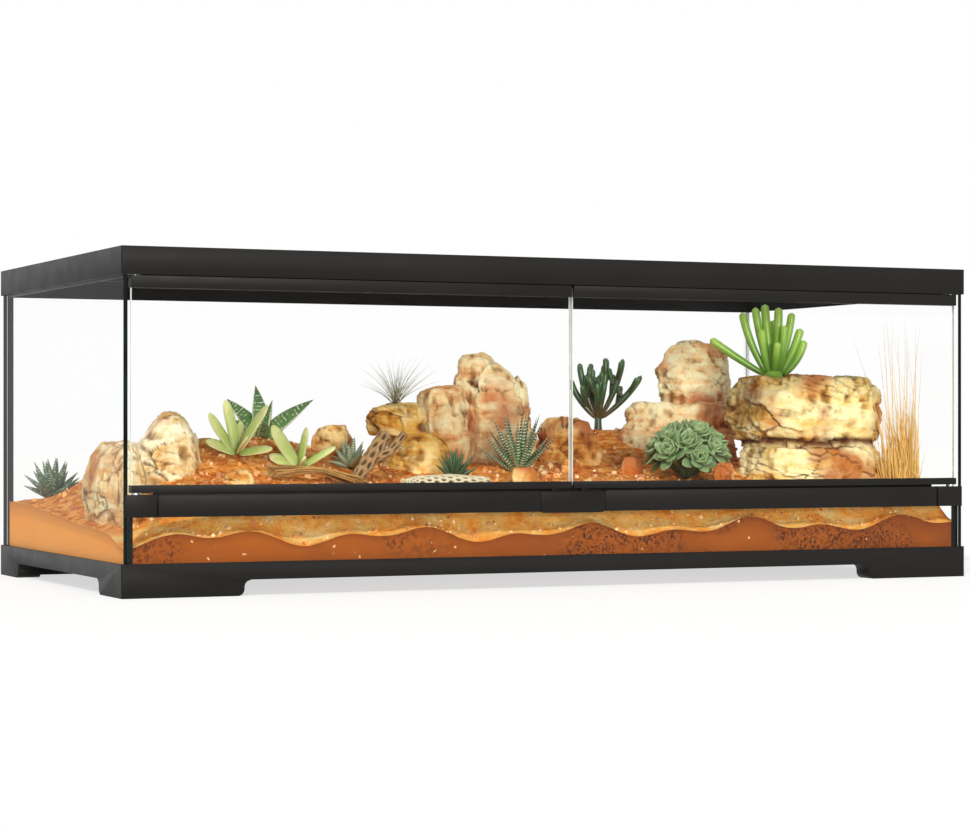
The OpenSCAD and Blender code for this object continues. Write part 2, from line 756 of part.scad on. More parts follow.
module loose_forms() {
    stone(-21, 66, [[-16, 0, 0, 14, 12], [10, 0, 0, 15, 13], [17, 0, 0, 12, 10]], 6, 5);
    stone(204, 56, [[-16, 0, 0, 12, 11], [10, 0, 0, 12, 11], [21, 1, 0, 8, 7]], 6, 8);
    stone(-300, 228, [[8, 0, 0, 15, 12], [34, 0, 0, 14, 12], [46, -2, 0, 9, 8]], 6, 13);
    stone(-160, 236, [[6, 0, 0, 24, 18], [44, 0, 0, 23, 18], [60, 0, 0, 14, 11]], 7, 15);
    stone(146, 152, [[-2, 0, 0, 11, 10], [18, 0, 0, 11, 9], [26, 0, 0, 7, 6]], 6, 19);
    stone(72, 150, [[-2, 0, 0, 13, 11], [18, 0, 0, 12, 10], [25, 0, 0, 8, 7]], 6, 25);
    stone(-310, 96, [[-14, 0, 0, 16, 13], [8, 0, 0, 16, 13], [16, 0, 0, 10, 8]], 6, 29);
}

module rock_left_front() color(cream_stone) fitted() left_front_form();

module rock_left_tall() color(cream_stone) fitted() difference() {
    left_tall_form();
    left_front_form();
}

module rock_orange_stack() color(orange_stone) fitted() {
    difference() {
        orange_low_form();
        centre_left_form();
    }
    orange_top_form();
}

module rock_centre() color(cream_stone) fitted() {
    centre_main_form();
    difference() {
        centre_left_form();
        centre_main_form();
    }
}

module rock_centre_right() color(orange_stone) fitted() difference() {
    centre_right_form();
    centre_main_form();
}

module rock_back_base() color(cream_stone) fitted() back_base_form();

module rock_back_tower() color(cream_stone) fitted() back_tower_form();

module rock_right_slab() color(cream_stone) fitted() difference() {
    right_slab_form();
    back_base_form();
}

module rock_right_block() color(cream_stone) fitted() difference() {
    right_block_form();
    back_base_form();
    back_tower_form();
}

module loose_stones() color(orange_stone) fitted() difference() {
    loose_forms();
    centre_right_form();
    back_base_form();
    right_slab_form();
    left_tall_form();
}

module rock_forms() {
    left_front_form();
    left_tall_form();
    orange_low_form();
    centre_left_form();
    centre_main_form();
    centre_right_form();
    back_base_form();
    right_slab_form();
    loose_forms();
}

// ---------------------------------------------------------------- landscape: plants and wood

function unit(v) = v / norm(v);

// Corners of a ring of radius r round p, square to direction d
function ring(p, d, r, sides) = let (
        u = unit(cross(d, abs(d[2]) > 0.9 * norm(d) ? [1, 0, 0] : [0, 0, 1])),
        v = cross(unit(d), u))
    [for (i = [0:sides - 1]) p + r * (cos(i * 360 / sides) * u + sin(i * 360 / sides) * v)];

// Round limb through the points of a path, with one radius for each point
module limb(path, radii, sides = 5) {
    last = len(path) - 1;
    rings = [for (i = [0:last]) ring(path[i],
        path[min(i + 1, last)] - path[max(i - 1, 0)], radii[i], sides)];
    for (i = [0:last - 1]) skin(concat(rings[i], rings[i + 1]));
}

// A limb from base in a heading and elevation, bending by bend degrees on its way
function bow(base, heading, elev, bend, l, steps) = [for (i = [0:steps]) let (
        t = i / steps,
        k = bend == 0 ? 0.01 : bend,
        reach = l * 180 / PI / k * (sin(elev + k * t) - sin(elev)),
        rise = l * 180 / PI / k * (cos(elev) - cos(elev + k * t)))
    base + [reach * cos(heading), reach * sin(heading), rise]];

// Pointed fleshy leaf: four-sided rings along a bow, widest at a third of its length
module leaf(base, heading, elev, bend, l, w, t, blunt = 0.06, steps = 3) {
    path = bow(base, heading, elev, bend, l, steps);
    side = [-sin(heading), cos(heading), 0];
    girth = steps == 3 ? [0.62, 1, 0.72, blunt] : [0.6, 1, blunt];
    rings = [for (i = [0:steps]) let (
            e = elev + bend * i / steps,
            up = [-sin(e) * cos(heading), -sin(e) * sin(heading), cos(e)],
            g = girth[i])
        [path[i] + side * w / 2 * g, path[i] + up * t * 0.3 * g,
            path[i] - side * w / 2 * g, path[i] - up * t * 0.7 * g]];
    for (i = [0:steps - 1]) skin(concat(rings[i], rings[i + 1]));
}

// Rosette of n leaves on a golden-angle spiral, steep in the middle and low outside
module rosette(p, n, l_in, l_out, w, t, e_in = 82, e_out = 22, bend = -22, turn = 0,
    blunt = 0.06, steps = 3) {
    for (i = [0:n - 1]) let (f = i / (n - 1))
        leaf(p + [0, 0, 2 - 2 * f], turn + i * golden, e_in + (e_out - e_in) * f,
            bend * f, l_in + (l_out - l_in) * f, w, t, blunt, steps);
}

// Root that seats a plant in the soil
module root(p, r, depth) {
    limb([p - [0, 0, depth], p + [0, 0, 2.5]], [r * 0.7, r], 6);
}

// Place on the layout, raised by dz over the soil
function planted(x, c, dz = 1) = [x, c, soil_height(x, c) + dz];

module left_rosette_form() let (p = planted(-414, 392), s = decor_scale) {
    root(p, 7, 8);
    rosette(p, 16, 30 * s, 34 * s, 9 * s, 5 * s, 84, 26, -8);
}

// One strap leaf: heading, elevation, bend, length and width
strap_leaves_a = [[156, 50, 12, 50, 10], [140, 80, -6, 56, 10], [-24, 62, -8, 58, 10],
    [165, 30, -14, 34, 11], [-20, 14, -10, 36, 9], [60, 60, -10, 40, 9], [-90, 40, -20, 34, 9]];
strap_leaves_b = [[150, 52, 10, 52, 13], [160, 28, -12, 34, 12], [-10, 84, -6, 42, 7],
    [-24, 36, -10, 42, 8], [70, 55, -10, 34, 8], [-100, 35, -20, 26, 8]];

module strap_form() for (k = [0, 1]) let (
        p = k == 0 ? planted(-285, 174) : planted(-224, 158),
        leaves = k == 0 ? strap_leaves_a : strap_leaves_b, s = decor_scale) {
    root(p, 6, 8);
    for (q = leaves) leaf(p, q[0], q[1], q[2], q[3] * s, q[4] * s, 4 * s, 0.3);
}

aloe_leaves = [[150, 86, -8, 54, 15], [158, 52, -10, 54, 15], [-24, 42, -12, 66, 15],
    [165, 30, 0, 36, 13], [-40, 78, -8, 40, 10], [80, 55, -8, 46, 13], [-110, 35, -20, 34, 13],
    [20, 30, -10, 40, 13]];

module aloe_form() let (p = planted(-230, 254), s = decor_scale) {
    root(p, 8, 8);
    for (q = aloe_leaves) leaf(p, q[0], q[1], q[2], q[3] * s, q[4] * s, 7 * s, 0.05);
}

module small_rosette_form() let (p = planted(-75, 112), s = decor_scale) {
    root(p, 6, 8);
    rosette(p, 16, 30 * s, 26 * s, 6 * s, 3.5 * s, 86, 24, -8);
}

module grey_rosette_form() let (p = planted(-166, 168), s = decor_scale) {
    root(p, 5, 8);
    rosette(p, 11, 30 * s, 24 * s, 8 * s, 4 * s, 82, 22, -14);
}

module zebra_form() let (p = planted(2, 124), s = decor_scale) {
    root(p, 7, 8);
    rosette(p, 20, 62 * s, 46 * s, 6.4 * s, 4.4 * s, 78, 26, 8);
}

// Branches of the dark plant: heading, elevation and length
jade_limbs = [[156, 48, 46], [150, 66, 60], [120, 74, 56], [-24, 84, 62], [-30, 62, 66],
    [-24, 40, 62], [60, 60, 50], [-120, 62, 40]];

module jade_form() let (p = planted(190, 318), s = decor_scale) {
    root(p, 5, 8);
    limb([p - [0, 0, 4], p + [0, 0, 14 * s]], [4.5 * s, 4 * s], 6);
    for (i = [0:len(jade_limbs) - 1]) let (q = jade_limbs[i],
            path = bow(p + [0, 0, 9 * s], q[0], q[1], 14, q[2] * s, 3)) {
        limb(path, [2.6 * s, 3 * s, 4.4 * s, 2.4 * s], 5);
        limb(bow(path[1], q[0] + 70, q[1], 20, 26 * s, 2), [2.4 * s, 4 * s, 2 * s], 5);
        limb(bow(path[2], q[0] - 60, q[1] - 8, 24, 22 * s, 2), [2.4 * s, 4 * s, 2 * s], 5);
    }
}

// Heads of the cluster: shift in x, shift in y, height and tilt heading
heads = [[0, -10, 46], [-24, 0, 34], [24, 2, 36], [0, 20, 44], [-34, -14, 14], [30, -20, 16],
    [2, -32, 16]];

module echeveria_form() let (p = planted(186, 106), s = decor_scale) {
    root(p, 22, 10);
    limb([p, p + [0, 0, 30 * s]], [22 * s, 12 * s], 6);
    for (i = [0:len(heads) - 1]) let (h = heads[i]) {
        limb([p + [0, 0, 4], p + h * s], [5 * s, 4 * s], 4);
        rosette(p + h * s, 8, 13 * s, 20 * s, 13 * s, 4.5 * s, 70, 12, 14, i * 51, 0.25, 2);
    }
}

// Fingers of the pale plant: heading, elevation, bend, length and foot shift
fingers = [[156, 58, 20, 74, -6], [150, 72, 10, 76, -2], [120, 80, 6, 78, 0],
    [-24, 84, 6, 74, 3], [-30, 72, 10, 70, 6], [-24, 58, 16, 56, 9], [-24, 38, 40, 46, 12],
    [160, 30, 6, 72, -8], [60, 74, 8, 62, 2], [90, 60, 20, 54, 0], [200, 66, 18, 52, -4],
    [-70, 66, 20, 56, 4], [-100, 50, 30, 40, 0]];

module finger_form() let (s = decor_scale, p = [312, 142, soil_level + 112 * s]) {
    limb([p - [0, 0, 4], p + [0, 0, 7 * s]], [14 * s, 9 * s], 6);
    for (f = fingers)
        limb(bow(p + [f[4] * s, 0, 2], f[0], f[1], f[2], f[3] * s, 3),
            [3.4 * s, 4.2 * s, 4.6 * s, 2.6 * s], 6);
}

module grass_form() let (s = decor_scale, p = [-106, 194, soil_level + 81 * s]) {
    limb([p - [0, 0, 3], p + [0, 0, 4]], [4, 3], 6);
    for (i = [0:13])
        limb(bow(p, i * golden, 84 - 2.6 * i, -16 - i, (58 - 1.6 * i) * s, 3),
            [0.9, 0.8, 0.6, 0.3], 3);
}

module dry_grass_form() let (p = planted(425, 56), s = decor_scale) {
    limb([p - [0, 0, 8], p + [0, 0, 44 * s]], [6, 5], 6);
    for (i = [0:14]) let (
            h = 150 + 105 * (i % 3),
            away = 200 + 130 * chance(i + 40),
            tilt = 87 - 5 * abs(chance(i + 70)))
        limb(bow(p + [2 * chance(i), 2 * chance(i + 9), 20], away, tilt, -2,
            min(h - 60 * abs(chance(i + 5)), top_z - p[2] - 34) * s, 3),
            [1, 0.9, 0.7, 0.3], 3);
}

// Straws of the bundle run from the upper left to the lower right, round a tight core
module straw_form() let (
        a = planted(-262, 118, 4), b = planted(-186, 100, 1), s = decor_scale) {
    limb([a + [0, 0, 5] * s, (a + b) / 2 + [0, 0, 12] * s, b + [0, 0, 3] * s],
        [4.4 * s, 4.6 * s, 4 * s], 6);
    for (i = [0:11]) let (
            u = [chance(i) * 5, chance(i + 20) * 5, 3 + abs(chance(i + 40)) * 6],
            v = [chance(i + 60) * 9, chance(i + 80) * 9, 1 + abs(chance(i + 90)) * 3])
        limb([a + u * s, (a + b) / 2 + (u + v) / 3 + [0, 0, 9 * s], b + v * s],
            [1.2, 1.5, 1.1], 3);
}

module perforated_form() let (p = planted(-150, 68, 2), q = planted(-56, 68, 0))
    limb([p, p + (q - p) * 0.15, p + (q - p) * 0.55, q], [5, 9, 11, 8], 8);

module cholla_form() let (
        a = planted(-186, 102, 3), s = decor_scale,
        top = a + [44, 34, 44] * s,
        arm = a + [20, 16, 20] * s) {
    limb([a, a + (top - a) / 2, top], [7, 8, 7.4], 8);
    limb([arm, arm + [24, 4, 8] * s, arm + [44, 14, 26] * s], [5, 4.6, 4], 6);
}

module wood_forms() {
    perforated_form();
    cholla_form();
    straw_form();
}

module plant_forms() {
    left_rosette_form();
    strap_form();
    aloe_form();
    small_rosette_form();
    grey_rosette_form();
    zebra_form();
    jade_form();
    echeveria_form();
    dry_grass_form();
}

module perforated_wood() color(pale_wood) fitted() perforated_form();

module cholla_wood() color(brown_wood) fitted() difference() {
    cholla_form();
    orange_low_form();
    perforated_form();
    loose_forms();
}

module straw_bundle() color(straw_tone) fitted() difference() {
    straw_form();
    cholla_form();
    loose_forms();
}

module plant_left_rosette() color(blue_green) fitted() left_rosette_form();

module plant_strap_leaf() color(green) fitted() difference() {
    strap_form();
    left_tall_form();
    loose_forms();
    straw_form();
    cholla_form();
}

module plant_tiger_aloe() color(green) fitted() difference() {
    aloe_form();
    loose_forms();
    strap_form();
}

module plant_small_rosette() color(dark_green) fitted() difference() {
    small_rosette_form();
    perforated_form();
    orange_low_form();
    centre_left_form();
}

module plant_grey_rosette() color(blue_green) fitted() difference() {
    grey_rosette_form();
    orange_low_form();
    orange_top_form();
    cholla_form();
    straw_form();
    loose_forms();
}

module plant_zebra_rosette() color(dark_green) fitted() difference() {
    zebra_form();
    small_rosette_form();
    centre_left_form();
    centre_main_form();
    centre_right_form();
    loose_forms();
}

module plant_dark_jade() color(dark_green) fitted() difference() {
    jade_form();
    back_base_form();
    back_tower_form();
    centre_right_form();
}

module plant_echeveria() color(blue_green) fitted() difference() {
    echeveria_form();
    right_slab_form();
    right_block_form();
    back_base_form();
    loose_forms();
}

module plant_finger() color(green) fitted() difference() {
    finger_form();
    right_block_form();
    back_tower_form();
}

module grass_tuft() color(straw_tone) fitted() difference() {
    grass_form();
    orange_top_form();
}

module dry_grass() color(straw_tone) fitted() difference() {
    dry_grass_form();
    right_slab_form();
    right_block_form();
}

// The soil is cut by everything that is bedded in it
module soil_bed() color(sand) difference() {
    soil_form();
    fitted() {
        rock_forms();
        plant_forms();
        wood_forms();
    }
    corner_bead_forms();
    floor_bead_forms();
}

base_frame();
floor_glass();
left_glass();
right_glass();
back_glass();
front_glass();
corner_seals();
floor_seal();
sill_rail();
sill_end_left();
sill_end_right();
sill_cover();
latch_handle();
latch_pin();
left_door_glass();
left_door_top_rail();
left_door_bottom_rail();
left_hinge_pins();
right_door_glass();
right_door_top_rail();
right_door_bottom_rail();
right_hinge_pins();
top_frame();
screen_frame();
screen_mesh();
screen_retainer();
left_screen_lock();
right_screen_lock();
left_cable_shutter();
right_cable_shutter();
soil_bed();
rock_left_front();
rock_left_tall();
rock_orange_stack();
rock_centre();
rock_centre_right();
rock_back_base();
rock_back_tower();
rock_right_slab();
rock_right_block();
loose_stones();
perforated_wood();
cholla_wood();
straw_bundle();
plant_left_rosette();
plant_strap_leaf();
plant_tiger_aloe();
plant_small_rosette();
plant_grey_rosette();
plant_zebra_rosette();
plant_dark_jade();
plant_echeveria();
plant_finger();
grass_tuft();
dry_grass();
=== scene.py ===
"""Looks of a low glass terrarium: glass, black frames, screen lid and desert landscape."""

import json
import logging
import math
from dataclasses import dataclass, field, replace
from enum import Enum
from typing import Sequence, Union

import bmesh
import bpy
import numpy as np
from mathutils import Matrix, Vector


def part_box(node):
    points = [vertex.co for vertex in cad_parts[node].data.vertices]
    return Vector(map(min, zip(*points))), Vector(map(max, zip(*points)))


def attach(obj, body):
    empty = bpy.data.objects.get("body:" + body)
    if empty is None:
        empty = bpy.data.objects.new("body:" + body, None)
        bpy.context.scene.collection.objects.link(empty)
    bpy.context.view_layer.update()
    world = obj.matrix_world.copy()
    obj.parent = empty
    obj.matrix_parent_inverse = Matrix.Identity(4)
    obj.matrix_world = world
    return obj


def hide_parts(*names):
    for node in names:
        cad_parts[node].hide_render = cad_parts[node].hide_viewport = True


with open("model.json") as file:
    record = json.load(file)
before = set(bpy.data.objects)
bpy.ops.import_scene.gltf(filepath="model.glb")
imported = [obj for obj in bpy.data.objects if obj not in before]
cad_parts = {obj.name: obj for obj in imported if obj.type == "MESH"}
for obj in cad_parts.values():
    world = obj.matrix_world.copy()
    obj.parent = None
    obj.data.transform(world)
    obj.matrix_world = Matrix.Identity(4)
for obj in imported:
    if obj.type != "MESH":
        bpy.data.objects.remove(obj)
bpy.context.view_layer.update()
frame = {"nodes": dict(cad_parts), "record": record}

LOG = logging.getLogger("terrarium")
MM = 0.001
SKIN = "skin"
TURN = 2 * math.pi
GOLDEN = 137.5  # golden angle in degrees
CLEARANCE = 0.6  # millimetres between the landscape and the glass
UNCLIPPED = ("clear_glass", "mesh_steel", "orange_soil")  # slots not held within the glass
Array = np.ndarray
Socket = bpy.types.NodeSocket
Value = Union[Socket, float, Sequence[float], str]
UP = np.array([0.0, 0.0, 1.0])
SQUARE = np.array([(-1, -1), (1, -1), (1, 1), (-1, 1)], float)


def tone(code: str) -> tuple[float, float, float, float]:
    """Turns a six-digit sRGB code into a linear colour.

    Args:
        code: six hexadecimal digits.

    Returns:
        Red, green, blue and an alpha of 1.
    """
    raw = [int(code[i : i + 2], 16) / 255 for i in (0, 2, 4)]
    red, green, blue = (c / 12.92 if c <= 0.04045 else ((c + 0.055) / 1.055) ** 2.4 for c in raw)
    return red, green, blue, 1.0


def smooth(t: Array) -> Array:
    """Cubic step: 3s squared minus 2s cubed, where s is t held between 0 and 1."""
    s = np.clip(t, 0.0, 1.0)
    return s * s * (3 - 2 * s)


class Grain:
    """Smooth repeatable noise in space: random lattice values blended by the cubic step."""

    def __init__(self, seed: int) -> None:
        """Draws the lattice from the seed."""
        self.lattice = np.random.default_rng(seed).random((32, 32, 32)) * 2 - 1

    def at(self, points: Array, size: float) -> Array:
        """Noise between -1 and 1 with features of one size.

        Args:
            points: places, in millimetres, with x, y and z last.
            size: size of a feature in millimetres.

        Returns:
            One value for each place: the eight lattice values round it, blended.
        """
        q = points / size + 97.3
        low = np.floor(q).astype(int)
        part = smooth(q - low)
        total = np.zeros(q.shape[:-1])
        for corner in np.ndindex(2, 2, 2):
            at = (low + corner) % 32
            weight = np.prod(np.where(np.array(corner) == 1, part, 1 - part), axis=-1)
            total += weight * self.lattice[at[..., 0], at[..., 1], at[..., 2]]
        return total

    def layers(self, points: Array, size: float, octaves: int = 3) -> Array:
        """Sum of noises from this size down, each with half the size and height of the last."""
        return sum(self.at(points + 13.1 * k, size / 2**k) / 2**k for k in range(octaves))


# ------------------------------------------------------------------------------ meshes


class Clay:
    """Gathers numpy surfaces and makes one piece of them."""

    def __init__(self) -> None:
        """Starts empty."""
        self.points: list[Array] = []
        self.faces: list[Array] = []
        self.skins: list[Array] = []
        self.finishes: list[Array] = []
        self.count = 0

    def grid(self, points: Array, skin: Array, wrap: bool = True, finish: int = 0) -> None:
        """Adds a grid of four-sided faces.

        Args:
            points: rows by columns by 3, in millimetres.
            skin: values for the materials, of the same shape or one that spreads to it.
            wrap: whether the last column joins the first.
            finish: which of the piece's materials the faces take.
        """
        rows, cols = points.shape[:2]
        index = np.arange(rows * cols).reshape(rows, cols) + self.count
        right = np.roll(index, -1, axis=1)
        if not wrap:
            index, right = index[:, :-1], right[:, :-1]
        quads = np.stack([index[:-1], right[:-1], right[1:], index[1:]], -1).reshape(-1, 4)
        self.add(points.reshape(-1, 3), quads, np.broadcast_to(skin, points.shape), finish)

    def add(self, points: Array, faces: Array, skin: Array, finish: int = 0) -> None:
        """Adds points and faces whose numbers already count what was added before.

        Args:
            points: n by 3, in millimetres.
            faces: m by 3 or 4 point numbers.
            skin: values for the materials, for each point.
            finish: which of the piece's materials the faces take.
        """
        self.points.append(points)
        self.faces.append(faces)
        self.skins.append(np.array(skin, float).reshape(-1, 3))
        self.finishes.append(np.full(len(faces), finish))
        self.count += len(points)

    def piece(
        self,
        name: str,
        materials: Sequence[bpy.types.Material],
        slot: str,
        stands_for: Sequence[str] = (),
        body: str = "tank",
        weld: float = 0.002,
    ) -> bpy.types.Object:
        """Makes the piece, closes its seams and poles, and ties it to its body.

        What grows or lies on the soil is held within the glass.

        Args:
            name: the piece's name.
            materials: its materials, in the order of the finish numbers.
            slot: the record's material slot.
            stands_for: CAD nodes that it replaces.
            body: the CAD body that it moves with.
            weld: points closer than this, in millimetres, become one.

        Returns:
            The new object.
        """
        mesh = bpy.data.meshes.new(name)
        faces = [face for block in self.faces for face in block.tolist()]
        points = np.concatenate(self.points)
        if slot not in UNCLIPPED:
            wall = np.array([INSIDE.half, INSIDE.back, np.inf]) - CLEARANCE
            points = np.clip(points, -wall, wall)
        mesh.from_pydata((points * MM).tolist(), [], faces)
        values = mesh.attributes.new(SKIN, "FLOAT_VECTOR", "POINT")
        values.data.foreach_set("vector", np.concatenate(self.skins).astype(np.float32).ravel())
        mesh.polygons.foreach_set("material_index", np.concatenate(self.finishes).astype(np.int32))
        for material in materials:
            mesh.materials.append(material)
        form = bmesh.new()
        form.from_mesh(mesh)
        bmesh.ops.remove_doubles(form, verts=form.verts, dist=weld * MM)
        bmesh.ops.recalc_face_normals(form, faces=form.faces)
        form.to_mesh(mesh)
        form.free()
        mesh.shade_smooth()
        return placed(bpy.data.objects.new(name, mesh), body, stands_for)


def placed(
    piece: bpy.types.Object, body: str, stands_for: Sequence[str]
) -> bpy.types.Object:
    """Links a piece, ties it to a body and hides the nodes that it replaces.

    Args:
        piece: the new object.
        body: the CAD body that it moves with.
        stands_for: CAD nodes that it replaces.

    Returns:
        The same object.
    """
    bpy.context.scene.collection.objects.link(piece)
    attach(piece, body)
    if stands_for:
        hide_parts(*stands_for)
    LOG.info("%s: %d faces", piece.name, len(piece.data.polygons))
    return piece


@dataclass(frozen=True)
class Blade:
    """Cross-section and outline of a leaf, limb or blade, along u from root to tip."""

    width: float
    thick: float
    fullest: float = 0.35
    foot: float = 0.6
    drop: float = 1.6
    round_tip: float = 1.0
    top: float = 0.45
    under: float = 0.9
    rows: int = 14
    sides: int = 10
    roll: float = 0.0

    def girth(self, u: Array) -> Array:
        """Outline: a sine rise from the foot, then one less t to a power.

        Args:
            u: places from root to tip.

        Returns:
            The share of the full width and thickness at each place.
        """
        rise = self.foot + (1 - self.foot) * np.sin(math.pi / 2 * np.clip(u / self.fullest, 0, 1))
        t = np.clip((u - self.fullest) / (1 - self.fullest), 0, 1)
        return rise * (1 - t**self.drop) ** self.round_tip


def bowed(
    clay: Clay,
    base: Sequence[float],
    heading: float,
    elevation: float,
    bend: float,
    length: float,
    blade: Blade,
    shade: float = 0.5,
) -> Array:
    """Adds a closed blade along an arc of a circle.

    The spine at u is base plus length / k times (sin(e + ku) - sin e) along the heading and
    (cos e - cos(e + ku)) upwards, where k is the bend. Its section at angle v is half the
    width times cos v to the side and a share of the thickness times sin v upwards, and both
    are turned about the spine by the blade's roll.

    Args:
        clay: what the blade is added to.
        base: root in millimetres.
        heading: direction over the ground in degrees.
        elevation: angle over the ground at the root in degrees.
        bend: turn downwards or upwards along the blade in degrees.
        length: length in millimetres.
        blade: outline and section.
        shade: third skin value, for variation from blade to blade.

    Returns:
        The spine, one point for each row.
    """
    s = np.linspace(0, 1, blade.rows)
    u = 0.45 * s + 0.55 * (1 - (1 - s) ** 2.4)
    v = np.linspace(0, TURN, blade.sides, endpoint=False)
    h, e, k = math.radians(heading), math.radians(elevation), math.radians(bend or 0.01)
    out, side = np.array([math.cos(h), math.sin(h), 0]), np.array([-math.sin(h), math.cos(h), 0])
    reach = length / k * (np.sin(e + k * u) - math.sin(e))
    rise = length / k * (math.cos(e) - np.cos(e + k * u))
    spine = np.asarray(base) + reach[:, None] * out + rise[:, None] * UP
    lift = -np.sin(e + k * u)[:, None] * out + np.cos(e + k * u)[:, None] * UP
    cos, sin = math.cos(math.radians(blade.roll)), math.sin(math.radians(blade.roll))
    side, lift = cos * side + sin * lift, cos * lift - sin * side
    girth = blade.girth(u) * (u > 0)
    up = np.where(np.sin(v) > 0, blade.top, blade.under) * np.sin(v) * blade.thick
    points = (
        spine[:, None]
        + (girth[:, None] * np.cos(v) * blade.width / 2)[..., None] * side[:, None]
        + (girth[:, None] * up)[..., None] * lift[:, None]
    )
    clay.grid(points, np.stack(np.broadcast_arrays(u[:, None], v / TURN, shade), -1))
    return spine


def tube(
    clay: Clay, path: Array, radii: Array, sides: int = 8, shade: float = 0.5, swell: Array = 0.0
) -> None:
    """Adds a closed round tube: circles square to a path, with a pole at each end.

    Args:
        clay: what the tube is added to.
        path: points of the centreline in millimetres.
        radii: one radius for each point.
        sides: points round the tube.
        shade: third skin value.
        swell: what is added to the radius, for each row and side.
    """
    along = np.gradient(path, axis=0)
    along /= np.linalg.norm(along, axis=1, keepdims=True)
    first = np.cross(along, [0.13, 0.31, 0.94] if abs(along[0, 2]) < 0.9 else [1.0, 0.1, 0.0])
    first /= np.linalg.norm(first, axis=1, keepdims=True)
    second = np.cross(along, first)
    v = np.linspace(0, TURN, sides, endpoint=False)
    reach = np.broadcast_to(np.asarray(radii)[:, None], (len(path), sides)) + swell
    ring = np.cos(v)[:, None] * first[:, None] + np.sin(v)[:, None] * second[:, None]
    points = path[:, None] + reach[..., None] * ring
    first_pole, last_pole = (path[i, None, None].repeat(sides, 1) for i in (0, -1))
    points = np.concatenate([first_pole, points, last_pole])
    u = np.linspace(0, 1, len(points))[:, None]
    clay.grid(points, np.stack(np.broadcast_arrays(u, v / TURN, shade), -1))


def along_path(points: Sequence[Sequence[float]], count: int) -> Array:
    """Points at even steps on straight lines through the given ones, rounded.

    Each round puts a point at half itself and a quarter of each neighbour.

    Args:
        points: corners of the path.
        count: number of points wanted.

    Returns:
        The path, count by 3.
    """
    corners = np.asarray(points, float)
    at = np.linspace(0, len(corners) - 1, count)
    path = np.stack([np.interp(at, np.arange(len(corners)), corners[:, i]) for i in range(3)], -1)
    inner = path.copy()
    for _ in range(max(2, count // 6)):
        inner[1:-1] = (inner[:-2] + inner[1:-1] * 2 + inner[2:]) / 4
    return inner


# ------------------------------------------------------------------------------ finishes


